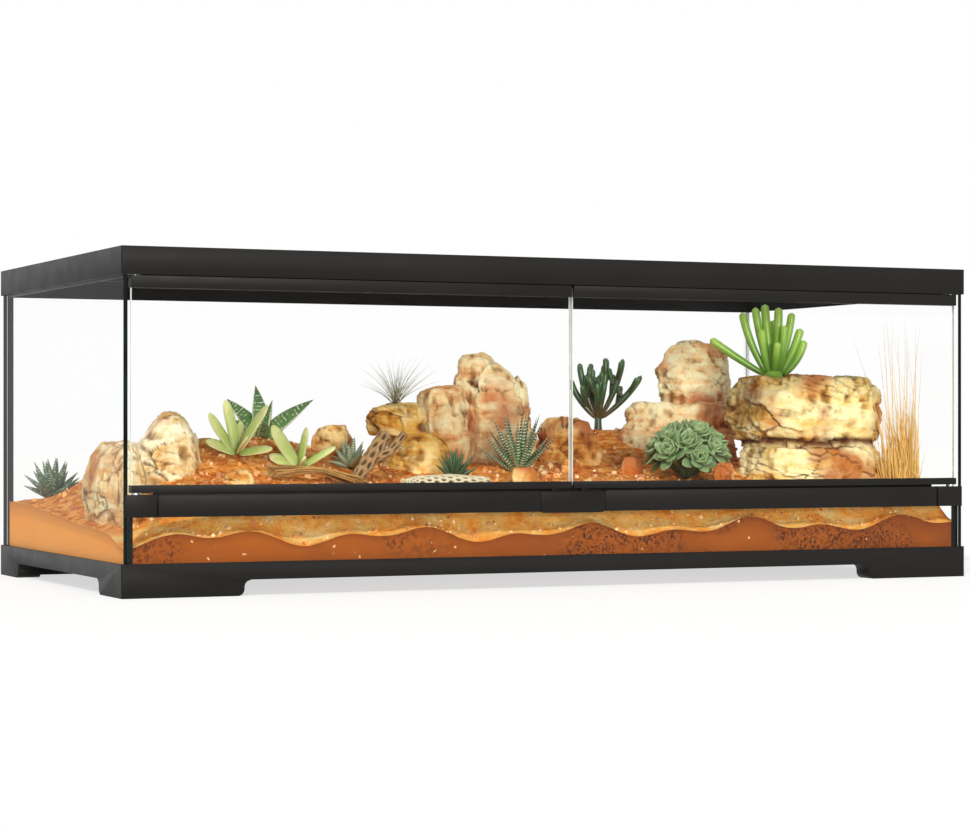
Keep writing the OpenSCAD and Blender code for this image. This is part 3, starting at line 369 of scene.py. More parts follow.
class Bench:
    """Workbench on which the nodes of one material, or of the world, are put together."""

    def __init__(self, name: str, world: bool = False) -> None:
        """Starts an empty material, or an empty world where world is true.

        Args:
            name: name of the material or of the world.
            world: whether it is a world.
        """
        self.home = (bpy.data.worlds if world else bpy.data.materials).new(name)
        self.home.use_nodes = True
        self.tree = self.home.node_tree
        self.tree.nodes.clear()

    def add(self, kind: str, sockets: dict | None = None, **settings: object) -> bpy.types.Node:
        """Adds a node.

        Args:
            kind: Blender's name of the node type, without ShaderNode in front.
            sockets: input name or number, and a value, an sRGB code or the socket that feeds it.
            settings: the node's own settings.

        Returns:
            The node.
        """
        node = self.tree.nodes.new("ShaderNode" + kind)
        for key, value in settings.items():
            setattr(node, key, value)
        for key, value in (sockets or {}).items():
            if isinstance(value, Socket):
                self.tree.links.new(value, node.inputs[key])
            else:
                node.inputs[key].default_value = tone(value) if isinstance(value, str) else value
        return node

    def first(self, kind: str, sockets: dict | None = None, **settings: object) -> Socket:
        """Adds a node and gives its first output."""
        return self.add(kind, sockets, **settings).outputs[0]

    def place(self) -> Socket:
        """Object coordinates."""
        return self.add("TexCoord").outputs["Object"]

    def split(self, vector: Socket) -> list[Socket]:
        """The three numbers of a vector."""
        return list(self.add("SeparateXYZ", {0: vector}).outputs)

    def skin(self) -> list[Socket]:
        """The three skin values of the surface."""
        return self.split(self.add("Attribute", attribute_name=SKIN).outputs["Vector"])

    def stretched(self, scale: Sequence[float]) -> Socket:
        """Object coordinates multiplied by a scale for each axis."""
        return self.first("Mapping", {0: self.place(), 3: scale})

    def noise(
        self, scale: float, detail: float = 3, rough: float = 0.5, at: Socket | None = None
    ) -> Socket:
        """Noise of a scale, in features to the metre, at the given or the object's own place."""
        sockets = {"Scale": scale, "Detail": detail, "Roughness": rough}
        return self.first("TexNoise", {"Vector": at or self.place()} | sockets)

    def ramp(self, value: Socket, stops: dict[float, str]) -> Socket:
        """Colour ramp.

        Args:
            value: where on the ramp.
            stops: the sRGB codes at places between 0 and 1.

        Returns:
            The colour.
        """
        node = self.add("ValToRGB", {0: value})
        while len(node.color_ramp.elements) < len(stops):
            node.color_ramp.elements.new(0.5)
        for element, (place, colour) in zip(node.color_ramp.elements, stops.items()):
            element.position = place
            element.color = tone(colour)
        return node.outputs[0]

    def mix(self, share: Value, first: Value, second: Value) -> Socket:
        """Colours blended by a share."""
        return self.add("Mix", {0: share, 6: first, 7: second}, data_type="RGBA").outputs[2]

    def over(
        self, under: Value, colour: Value, value: Value, low: float, high: float, share: float = 1
    ) -> Socket:
        """A colour laid over another: not at all where the value is low, by a share where high."""
        return self.mix(self.span(value, low, high, (0, share)), under, colour)

    def sums(self, kind: str, first: Value, second: Value = 0.0) -> Socket:
        """One sum of numbers, of Blender's kind of that name."""
        return self.first("Math", {0: first, 1: second}, operation=kind)

    def times(self, first: Value, second: Value) -> Socket:
        """Product of two numbers."""
        return self.sums("MULTIPLY", first, second)

    def plus(self, first: Value, second: Value) -> Socket:
        """Total of two numbers."""
        return self.sums("ADD", first, second)

    def without(self, value: Socket) -> Socket:
        """One less the value."""
        return self.sums("SUBTRACT", 1.0, value)

    def beyond(self, x: float, y: float) -> Socket:
        """One where the surface lies to the right of x and behind y, in metres, or else zero."""
        right, deep, _ = self.split(self.place())
        return self.times(self.sums("GREATER_THAN", deep, y), self.sums("GREATER_THAN", right, x))

    def span(
        self, value: Value, low: float, high: float, to: tuple[float, float] = (0, 1)
    ) -> Socket:
        """Value mapped from low and high to two other numbers, and held between them."""
        return self.first("MapRange", {0: value, 1: low, 2: high, 3: to[0], 4: to[1]})

    def bump(
        self, height: Socket, depth: float, strength: float = 1.0, under: Socket | None = None
    ) -> Socket:
        """Normal from a height, whose full range is depth millimetres."""
        sockets: dict = {"Height": height, "Distance": depth * MM, "Strength": strength}
        return self.first("Bump", sockets | ({"Normal": under} if under else {}))

    def seen(self) -> Socket:
        """One for rays from the camera, from a mirror or through glass, or else zero.

        Returns:
            The value, one or zero.
        """
        path = self.add("LightPath").outputs
        mirrored = self.sums("MAXIMUM", path["Is Camera Ray"], path["Is Glossy Ray"])
        return self.sums("MAXIMUM", mirrored, path["Is Transmission Ray"])

    def blend(self, share: Value, first: Socket, second: Socket) -> Socket:
        """Shaders blended by a share."""
        return self.first("MixShader", {0: share, 1: first, 2: second})

    def surface(self, **sockets: Value) -> Socket:
        """Principled shader.

        Args:
            sockets: its inputs, named with underscores for spaces.

        Returns:
            Its output.
        """
        named = {key.replace("_", " "): value for key, value in sockets.items()}
        named["Specular IOR Level"] = named.pop("Specular", 0.5)
        return self.first("BsdfPrincipled", named)

    def solid(self, **sockets: Value) -> bpy.types.Material:
        """Ends with one Principled shader and gives the material."""
        return self.end(self.surface(**sockets))

    def end(self, shader: Socket, kind: str = "OutputMaterial") -> bpy.types.Material:
        """Joins a shader to the output and gives the material or the world."""
        self.add(kind, {0: shader})
        return self.home


@dataclass(frozen=True)
class MouldedPlastic:
    """Satin black plastic with a faint moulded grain and soft cloudiness."""

    colour: str = "1b1a19"
    clouded: float = 0.8
    rough: tuple[float, float] = (0.38, 0.46)

    def make(self) -> bpy.types.Material:
        """Builds the material.

        Returns:
            The material.
        """
        bench = Bench("moulded_plastic")
        dark = tuple(c * self.clouded for c in tone(self.colour)[:3]) + (1,)
        return bench.solid(
            Base_Color=bench.over(dark, self.colour, bench.noise(9, 3), 0.35, 0.65),
            Roughness=bench.span(bench.noise(40, 4), 0.3, 0.7, self.rough),
            Specular=0.12,
            Normal=bench.bump(bench.noise(1500, 2), 0.05, 0.35),
        )


@dataclass(frozen=True)
class ClearGlass:
    """Float glass that lets lamps through and mirrors a little on its outer faces."""

    tint: tuple[float, float, float, float] = (0.998, 1.0, 0.998, 1)
    shadow: tuple[float, float, float, float] = (0.97, 0.98, 0.97, 1)
    index: float = 1.45
    share: float = 0.3

    def make(self) -> bpy.types.Material:
        """Builds the material: clear, with a Fresnel share of mirror where met from outside.

        Returns:
            The material.
        """
        bench = Bench("clear_glass")
        front = bench.without(bench.add("NewGeometry").outputs["Backfacing"])
        mirror = bench.times(bench.first("Fresnel", {0: self.index}), front)
        smear = bench.span(bench.noise(7, 4), 0.3, 0.8, (0.0, 0.03))
        gloss = bench.first("BsdfGlossy", {"Roughness": smear})
        clear = bench.first("BsdfTransparent", {0: self.tint})
        seen = bench.blend(bench.times(mirror, self.share), clear, gloss)
        lamp = bench.first("BsdfTransparent", {0: self.shadow})
        return bench.end(bench.blend(bench.add("LightPath").outputs["Is Shadow Ray"], seen, lamp))


class EdgeKind(Enum):
    """How a pane's edge looks: painted light through a polished edge, or nearly black."""

    # pale tones: painted light passing through the doors' polished edges
    LIT = ("c9d8cf", "f1f6f2")
    DEEP = ("090d0c", "151f1b")


@dataclass(frozen=True)
class GlassEdge:
    """Ground edge of a pane: streaks between two tones, and painted pale light at the back."""

    kind: EdgeKind

    def make(self) -> bpy.types.Material:
        """Builds the material; behind, but for the back left corner, deep edges take painted light.

        Returns:
            The material.
        """
        bench = Bench(f"glass_edge_{self.kind.name.lower()}")
        deep = self.kind is EdgeKind.DEEP
        streak = bench.noise(60, 4, at=bench.stretched((6, 6, 0.4)))
        colour = bench.over(*self.kind.value, streak, 0.3, 0.7)
        if deep:
            # painted light: back edges pale, as though the white backdrop shone through them
            colour = bench.mix(bench.beyond(-0.4, 0.2), colour, "f4f8f6")
        return bench.solid(
            Base_Color=colour,
            Roughness=bench.span(streak, 0.2, 0.8, (0.15, 0.35)),
            Specular=0.06 if deep else 0.5,
        )


@dataclass(frozen=True)
class Silicone:
    """Black sealant with a skinned, slightly wavy surface."""

    dark: str = "0b0b0b"
    pale: str = "1c1c1b"
    rough: tuple[float, float] = (0.25, 0.42)

    def black(self, bench: Bench, wave: Socket, **sockets: Value) -> Socket:
        """Black shader whose tone and roughness follow a wave.

        Args:
            bench: the bench of the material.
            wave: the wave, between 0 and 1.
            sockets: the shader's other inputs.

        Returns:
            The shader.
        """
        colour = bench.mix(wave, self.dark, self.pale)
        rough = bench.span(wave, 0.2, 0.8, self.rough)
        return bench.surface(Base_Color=colour, Roughness=rough, **sockets)

    def make(self) -> bpy.types.Material:
        """Builds the material.

        Returns:
            The material.
        """
        bench = Bench("black_silicone")
        wave = bench.noise(120, 3)
        return bench.end(self.black(bench, wave, Normal=bench.bump(wave, 0.4, 0.5)))


@dataclass(frozen=True)
class CornerBead(Silicone):
    """Corner sealant: clear at the back right corner, black at the others."""

    def make(self) -> bpy.types.Material:
        """Builds the material.

        Returns:
            The material.
        """
        bench = Bench("corner_bead")
        black = self.black(bench, bench.noise(120, 3), Specular=0.1)
        clear = bench.first("BsdfTransparent", {0: (0.96, 0.97, 0.96, 1)})
        sheen = bench.first("BsdfGlossy", {"Roughness": 0.2})
        glassy = bench.blend(0.04, clear, sheen)
        return bench.end(bench.blend(bench.beyond(0.0, 0.0), black, glassy))


@dataclass(frozen=True)
class DrawnSteel:
    """Steel pin with drawing lines along it."""

    def make(self) -> bpy.types.Material:
        """Builds the material.

        Returns:
            The material.
        """
        bench = Bench("drawn_steel")
        lines = bench.noise(900, 2, at=bench.stretched((1, 1, 0.03)))
        return bench.solid(
            Base_Color=bench.mix(lines, "9a9da1", "c6c9cc"),
            Metallic=1.0,
            Roughness=bench.span(lines, 0.3, 0.7, (0.22, 0.4)),
        )


@dataclass(frozen=True)
class CoatedWire:
    """Black coated wire of the screen."""

    def make(self) -> bpy.types.Material:
        """Builds the material.

        Returns:
            The material.
        """
        bench = Bench("coated_wire")
        speck = bench.noise(700, 2)
        return bench.solid(
            Base_Color=bench.mix(speck, "1b1b1a", "3a3936"),
            Roughness=bench.span(speck, 0.3, 0.7, (0.35, 0.55)),
        )


class SoilSide(Enum):
    """The soil's sandy top and its face against the glass."""

    TOP = "top"
    FACE = "face"


@dataclass(frozen=True)
class Soil:
    """Burnt orange clay, with a loose sandy top that turns redder to the back."""

    side: SoilSide

    def make(self) -> bpy.types.Material:
        """Builds the top or the face."""
        bench = Bench(f"soil_{self.side.value}")
        return self.top(bench) if self.side is SoilSide.TOP else self.face(bench)

    def top(self, bench: Bench) -> bpy.types.Material:
        """Sand: pale and orange patches, painted shade in hollows, coarse grain; skin says how red.

        Args:
            bench: the bench of the material.

        Returns:
            The material.
        """
        hollow_shade, red, _ = bench.skin()
        sand = {0.3: "f07e1e", 0.4: "ffa23e", 0.52: "ffbe60", 0.7: "ffdc98"}
        rust = {0.34: "8a340a", 0.44: "cc6418", 0.53: "ee9a40", 0.68: "fdd08a"}
        pale = bench.ramp(bench.noise(38, 5, 0.62), sand)
        colour = bench.mix(red, pale, bench.ramp(bench.noise(95, 7, 0.75), rust))
        grit = bench.noise(420, 3, 0.6)
        colour = bench.over(colour, "b0520f", grit, 0.6, 0.72, 0.3)
        # painted shade: the sand darkens in the hollows
        colour = bench.mix(bench.times(hollow_shade, 0.5), colour, "a0480f")
        grain = bench.bump(bench.noise(160, 7, 0.75), 3.0, 0.8)
        relief = bench.bump(grit, 1.2, 0.6, grain)
        return bench.solid(Base_Color=colour, Roughness=0.95, Specular=0.15, Normal=relief)

    def face(self, bench: Bench) -> bpy.types.Material:
        """Clay against glass: burnt and browner to the right, with specks, and plain at the left.

        The face on the left pane is a smooth bright orange. The others darken near the floor,
        and all take painted shade at their upper edge, where the third skin value is one.

        Args:
            bench: the bench of the material.

        Returns:
            The material.
        """
        x, _, z = bench.split(bench.place())
        wide = bench.noise(5, 4, 0.55, bench.stretched((1, 1, 2.6)))
        left = bench.span(x, -0.448, -0.4495)
        others = bench.without(left)
        burnt = bench.mix(left, bench.over("8e460a", "642c0b", x, -0.3, 0.42), "f2962c")
        colour = bench.over(burnt, bench.mix(left, "b5600f", "fcb458"), wide, 0.35, 0.7, 0.55)
        low = bench.times(bench.span(z, 0.045, 0.02, (0, 0.35)), others)
        colour = bench.mix(low, colour, "743408")
        # painted shade along the upper edge of each face
        colour = bench.over(colour, "6a2c06", bench.skin()[2], 0.7, 1.0, 0.5)
        region = bench.times(bench.span(bench.noise(9, 3), 0.44, 0.56), others)
        speck = bench.span(bench.noise(420, 5, 0.7), 0.5, 0.56)
        colour = bench.mix(bench.times(region, speck), colour, "381806")
        colour = bench.over(colour, "e8c08a", bench.noise(190, 1), 0.76, 0.79)
        relief = bench.bump(bench.noise(500, 3), 0.3, 0.3)
        return bench.solid(Base_Color=colour, Roughness=0.8, Specular=0.25, Normal=relief)


@dataclass(frozen=True)
class Pebble:
    """Small stones whose skin picks a tone from rust to cream."""

    def make(self) -> bpy.types.Material:
        """Builds the material.

        Returns:
            The material.
        """
        bench = Bench("pebble")
        pick, light, _ = bench.skin()
        tones = {0.0: "9c4414", 0.3: "d0701f", 0.6: "eba24a", 0.85: "fbe0a8", 1.0: "b5682a"}
        colour = bench.over(bench.ramp(pick, tones), "fff0cc", light, 0, 1, 0.3)
        relief = bench.bump(bench.noise(900, 3), 0.4, 0.5)
        return bench.solid(Base_Color=colour, Roughness=0.9, Specular=0.2, Normal=relief)


@dataclass(frozen=True)
class Sandstone:
    """Bedded sandstone; skin: seams, cracks and painted shade, the bed's tone, the broad stain."""

    name: str
    bright: str = "fff3d0"
    pale: str = "f6dca6"
    mid: str = "e0ae68"
    deep: str = "9a5a28"
    rust: str = "c9712a"
    stain: float = 0.22

    def make(self) -> bpy.types.Material:
        """Builds the material.

        Returns:
            The material.
        """
        bench = Bench(self.name)
        seam, bed, broad = bench.skin()
        mottle = bench.times(bench.noise(48, 6, 0.66), 0.5)
        layer = bench.noise(70, 4, 0.6, bench.stretched((0.5, 0.5, 3)))
        blend = bench.plus(bench.plus(bench.times(bed, 0.25), mottle), bench.times(layer, 0.3))
        tones = {0.3: self.deep, 0.4: self.mid, 0.5: self.pale, 0.62: self.bright}
        low = 1.02 - self.stain
        rusty = bench.plus(broad, mottle)
        body = bench.over(bench.ramp(blend, tones), self.rust, rusty, low, low + 0.25, 0.85)
        body = bench.over(body, self.deep, bench.noise(210, 4, 0.6), 0.61, 0.7, 0.5)
        grain = bench.bump(bench.noise(900, 3, 0.7), 0.4, 0.6)
        return bench.solid(
            # first skin value: dark seams and cracks, and painted shade in the cut band and low
            # spots
            Base_Color=bench.mix(seam, body, "5e2f12"),
            Roughness=0.92,
            Specular=0.2,
            Normal=bench.bump(bench.noise(190, 6, 0.7), 2.2, 0.85, grain),
        )


class Marking(Enum):
    """Pattern on a leaf: none, pale blotches on both faces, or pale cross bars."""

    PLAIN = 0
    TIGER = 1
    BARS = 2


@dataclass(frozen=True)
class Leaf:
    """Fleshy leaf: tone from root to tip, lighter rim, markings by u and v of the skin."""

    name: str
    root: str
    middle: str
    tip: str
    rim: str = "a8c08a"
    rim_share: float = 0.0
    marking: Marking = Marking.PLAIN
    bars: float = 20.0
    rough: float = 0.42

    def make(self) -> bpy.types.Material:
        """Builds the material.

        Returns:
            The material.
        """
        bench = Bench(self.name)
        u, v, shade = bench.skin()
        vein = bench.noise(260, 3, 0.5, bench.stretched((1, 1, 0.5)))
        colour = bench.ramp(u, {0.0: self.root, 0.45: self.middle, 1.0: self.tip})
        colour = bench.over(colour, self.root, vein, 0.4, 0.7, 0.3)
        colour = bench.over(colour, self.tip, shade, 0.0, 1.0, 0.35)
        edge = bench.sums("ABSOLUTE", bench.sums("COSINE", bench.times(v, TURN)))
        if self.rim_share:
            colour = bench.over(colour, self.rim, edge, 0.86, 1.0, self.rim_share)
        if self.marking is not Marking.PLAIN:
            patch = bench.times(self.marks(bench, u, edge), 0.85)
            colour = bench.mix(patch, colour, "dfe8c8")
        return bench.solid(
            Base_Color=colour,
            Roughness=self.rough,
            Subsurface_Weight=0.08,
            Subsurface_Scale=0.004,
            Normal=bench.bump(vein, 0.3, 0.3),
        )

    def marks(self, bench: Bench, u: Socket, edge: Socket) -> Socket:
        """Share of the markings: a jittered sine along the leaf, broken up or kept off the rim.

        Args:
            bench: the bench of the material.
            u: place along the leaf.
            edge: one at the rim and zero on the middle of both faces.

        Returns:
            The share.
        """
        jitter = bench.times(bench.noise(150, 2), 5.0)
        wave = bench.sums("SINE", bench.plus(bench.times(u, self.bars * TURN), jitter))
        if self.marking is Marking.TIGER:
            low, kept = 0.45, bench.span(bench.noise(240, 2), 0.48, 0.56, (0, 0.8))
        else:
            low, kept = 0.35, bench.span(edge, 1.0, 0.75)
        return bench.times(bench.span(wave, low, low + 0.35), kept)


@dataclass(frozen=True)
class Fibre:
    """Dry plant matter, fibres along it; third skin value: painted shade in holes, darker straws.
    """

    name: str
    pale: str
    deep: str
    hole_shade_and_tone: str
    fibres: float = 30.0

    def make(self) -> bpy.types.Material:
        """Builds the material.

        Returns:
            The material.
        """
        bench = Bench(self.name)
        u, v, dark = bench.skin()
        line = bench.first("CombineXYZ", {0: bench.times(u, 3.0), 1: bench.times(v, self.fibres)})
        fibre = bench.noise(2.0, 4, 0.6, line)
        colour = bench.over(self.pale, self.deep, fibre, 0.35, 0.65)
        colour = bench.over(colour, self.deep, bench.noise(140, 3), 0.5, 0.75, 0.4)
        # painted shade in the holes; a darker tone on straws and blades
        colour = bench.mix(dark, colour, self.hole_shade_and_tone)
        relief = bench.bump(fibre, 0.5, 0.5)
        return bench.solid(Base_Color=colour, Roughness=0.8, Specular=0.3, Normal=relief)


# ------------------------------------------------------------------------------ ground


@dataclass(frozen=True)
class Inside:
    """Inside of the tank, in millimetres."""

    half: float = 451.0
    front: float = -218.5
    back: float = 218.5
    floor: float = 23.0
    soil_front: float = 54.0
    soil_level: float = 98.0

    def depth(self) -> float:
        """Depth from glass to glass."""
        return self.back - self.front


INSIDE = Inside()


def sine(degrees: Array) -> Array:
    """Sine of degrees."""
    return np.sin(np.radians(degrees))


@dataclass
class Ground:
    """Soil bed: a height over the layout, x from the middle and c from the front glass.

    A mound is its middle's x and c, its half widths and its height. The gap is the soil's to
    the glass. All are in millimetres.
    """

    cols: int = 300
    rows: int = 150
    wall_rows: int = 6
    gap: float = 0.3
    gravel_count: int = 2600
    mounds: tuple[tuple[float, ...], ...] = (
        (-238, 265, 66, 50, 26),
        (-290, 185, 34, 34, 9),
        (190, 318, 72, 56, 34),
        (0, 130, 50, 40, 6),
        (-345, 175, 40, 55, 8),
    )
    grain: Grain = field(default_factory=lambda: Grain(5))

    def edge(self, x: Array) -> Array:
        """Height against the front glass: a level, two slow waves and a rise to the right."""
        waves = 5 * sine(x * 1.9 + 60) + 4 * sine(x * 4.1 - 20)
        return INSIDE.soil_front + waves + 4 * smooth((x - 20) / 200)

    def height(self, x: Array, c: Array) -> Array:
        """Height over the ground: the edge blended into a plateau with mounds by a cubic step.

        Args:
            x: places from the middle.
            c: places from the front glass.

        Returns:
            Heights in millimetres.
        """
        rise = smooth((c - 2) / 66)
        left = smooth((x + 446 + 0.05 * c) / 110)
        plateau = INSIDE.soil_level + 22 * smooth((c - 70) / 160) - 44 * smooth((c - 320) / 110)
        flat = plateau * left + (INSIDE.soil_front + 0.06 * c) * (1 - left)
        hills = sum(
            high * np.exp(-(((x - a) / wide) ** 2 + ((c - b) / deep) ** 2) / 2)
            for a, b, wide, deep, high in self.mounds
        )
        return self.edge(x) * (1 - rise) + (flat + hills) * rise

    def lumpy(self, x: Array, c: Array) -> Array:
        """Height with coarse and fine crumbs, which fade towards the glass.

        Args:
            x: places from the middle.
            c: places from the front glass.

        Returns:
            Heights in millimetres.
        """
        place = np.stack([x, c, np.zeros_like(x)], -1)
        away = smooth(np.minimum(c, np.minimum(x + INSIDE.half, INSIDE.half - x)) / 10)
        coarse = self.grain.layers(place, 26, 3)
        fine = np.abs(self.grain.layers(place + 50, 9, 3))
        return self.height(x, c) + (2.2 * coarse + 1.3 * fine) * (0.35 + 0.65 * away) - 1.0

    def build(self) -> None:
        """Makes the soil with its faces against the glass, and the gravel on it."""
        x = np.linspace(-INSIDE.half + self.gap, INSIDE.half - self.gap, self.cols)
        c = INSIDE.depth() * np.linspace(0, 1, self.rows) ** 1.35
        gx, gc = np.meshgrid(x, np.clip(c, self.gap, INSIDE.depth() - self.gap))
        z = self.lumpy(gx, gc)
        place = np.stack([gx, gc, z], -1)
        # painted shade: how much the soil top darkens in its hollows
        hollow_shade = smooth((0.1 - np.abs(self.grain.layers(place + 50, 9, 3))) / 0.1) * 0.5
        red = smooth((gc - 34 - 14 * self.grain.at(place, 60)) / 50) * 0.92
        clay = Clay()
        top = np.stack([gx, gc + INSIDE.front, z], -1)
        clay.grid(top, np.stack([hollow_shade, red, 0 * z + 1], -1), wrap=False)
        rim = np.concatenate([top[0, :-1], top[:-1, -1], top[-1, :0:-1], top[:0:-1, 0]])
        levels = np.linspace(1, 0, self.wall_rows)[:, None, None]
        wall = np.broadcast_to(rim, (self.wall_rows, len(rim), 3)).copy()
        wall[..., 2] = INSIDE.floor + (rim[:, 2] - INSIDE.floor) * levels[..., 0]
        # third skin value: one at the upper edge, where the face takes painted shade
        clay.grid(wall, levels * (0, 0, 1), finish=1)
        middle = np.array([0, 0, INSIDE.floor]) + 0 * wall[-1]
        clay.grid(np.stack([wall[-1], middle]), np.zeros(3), finish=1)
        materials = [Soil(SoilSide.TOP).make(), Soil(SoilSide.FACE).make()]
        clay.piece("soil", materials, "orange_soil", ["soil_bed"])
        self.gravel()

    def gravel(self) -> None:
        """Scatters pebbles: small ones on the front slope, larger ones behind it."""
        random = np.random.default_rng(17)
        ball = bmesh.new()
        bmesh.ops.create_icosphere(ball, subdivisions=1, radius=1)
        shape = np.array([v.co for v in ball.verts])
        faces = np.array([[v.index for v in f.verts] for f in ball.faces])
        ball.free()
        n = self.gravel_count
        near = random.random(n) < 0.32
        x = random.uniform(-438, 438, n)
        c = np.where(near, 5 + 60 * random.random(n), 60 + 330 * random.random(n) ** 1.4)
        small, large = 0.9 + 2.0 * random.random(n) ** 3, 1.4 + 3.4 * random.random(n) ** 2.5
        size = np.where(near, small, large)
        squash = random.uniform(0.5, 1.0, (n, 1, 3)) * size[:, None, None]
        lumps = shape * (1 + 0.28 * random.uniform(-1, 1, (n, len(shape), 1))) * squash
        turn = random.uniform(0, TURN, n)[:, None]
        spun = lumps.copy()
        spun[..., 0] = lumps[..., 0] * np.cos(turn) - lumps[..., 1] * np.sin(turn)
        spun[..., 1] = lumps[..., 0] * np.sin(turn) + lumps[..., 1] * np.cos(turn)
        seat = np.stack([x, c + INSIDE.front, self.lumpy(x, c) + size * 0.2], -1)
        points = (spun + seat[:, None]).reshape(-1, 3)
        offset = (np.arange(n) * len(shape))[:, None, None]
        hue = np.repeat(random.random((n, 1, 3)), len(shape), 1).reshape(-1, 3)
        clay = Clay()
        clay.add(points, (faces + offset).reshape(-1, 3), hue)
        piece = clay.piece("gravel", [Pebble().make()], "orange_sandstone", weld=1e-6)
        piece.data.shade_flat()


# ------------------------------------------------------------------------------ stones


class Rock(Enum):
    """Kinds of stone in the landscape, each with its finish."""

    CREAM = Sandstone("cream_sandstone", stain=0.1)
    GOLD = Sandstone("golden_sandstone", "fff0b8", "f5d488", "dca850", "8a5420", "b8601c", 0.2)
    ROSE = Sandstone("rose_sandstone", "fff2c4", "f6d298", "e0a068", "98562e", "cc7034", 0.3)
    HONEY = Sandstone("honey_sandstone", "ffe09a", "f0ba58", "d08a30", "864c18", "b8621c", 0.24)
    ORANGE = Sandstone("orange_sandstone", "fbd795", "e9ab58", "c67a30", "8a4318", "b9571a", 0.34)

    def slot(self) -> str:
        """The record's slot: orange for the last two kinds and cream for the others."""
        last = self in (Rock.HONEY, Rock.ORANGE)
        return "orange_sandstone" if last else "cream_sandstone"


def chance(i: Array) -> Array:
    """Repeatable scatter between -1 and 1: the last digits of a large sine."""
    v = sine(np.asarray(i) * 127.1 + 31.7) * 4375.8
    return 2 * (v - np.floor(v)) - 1


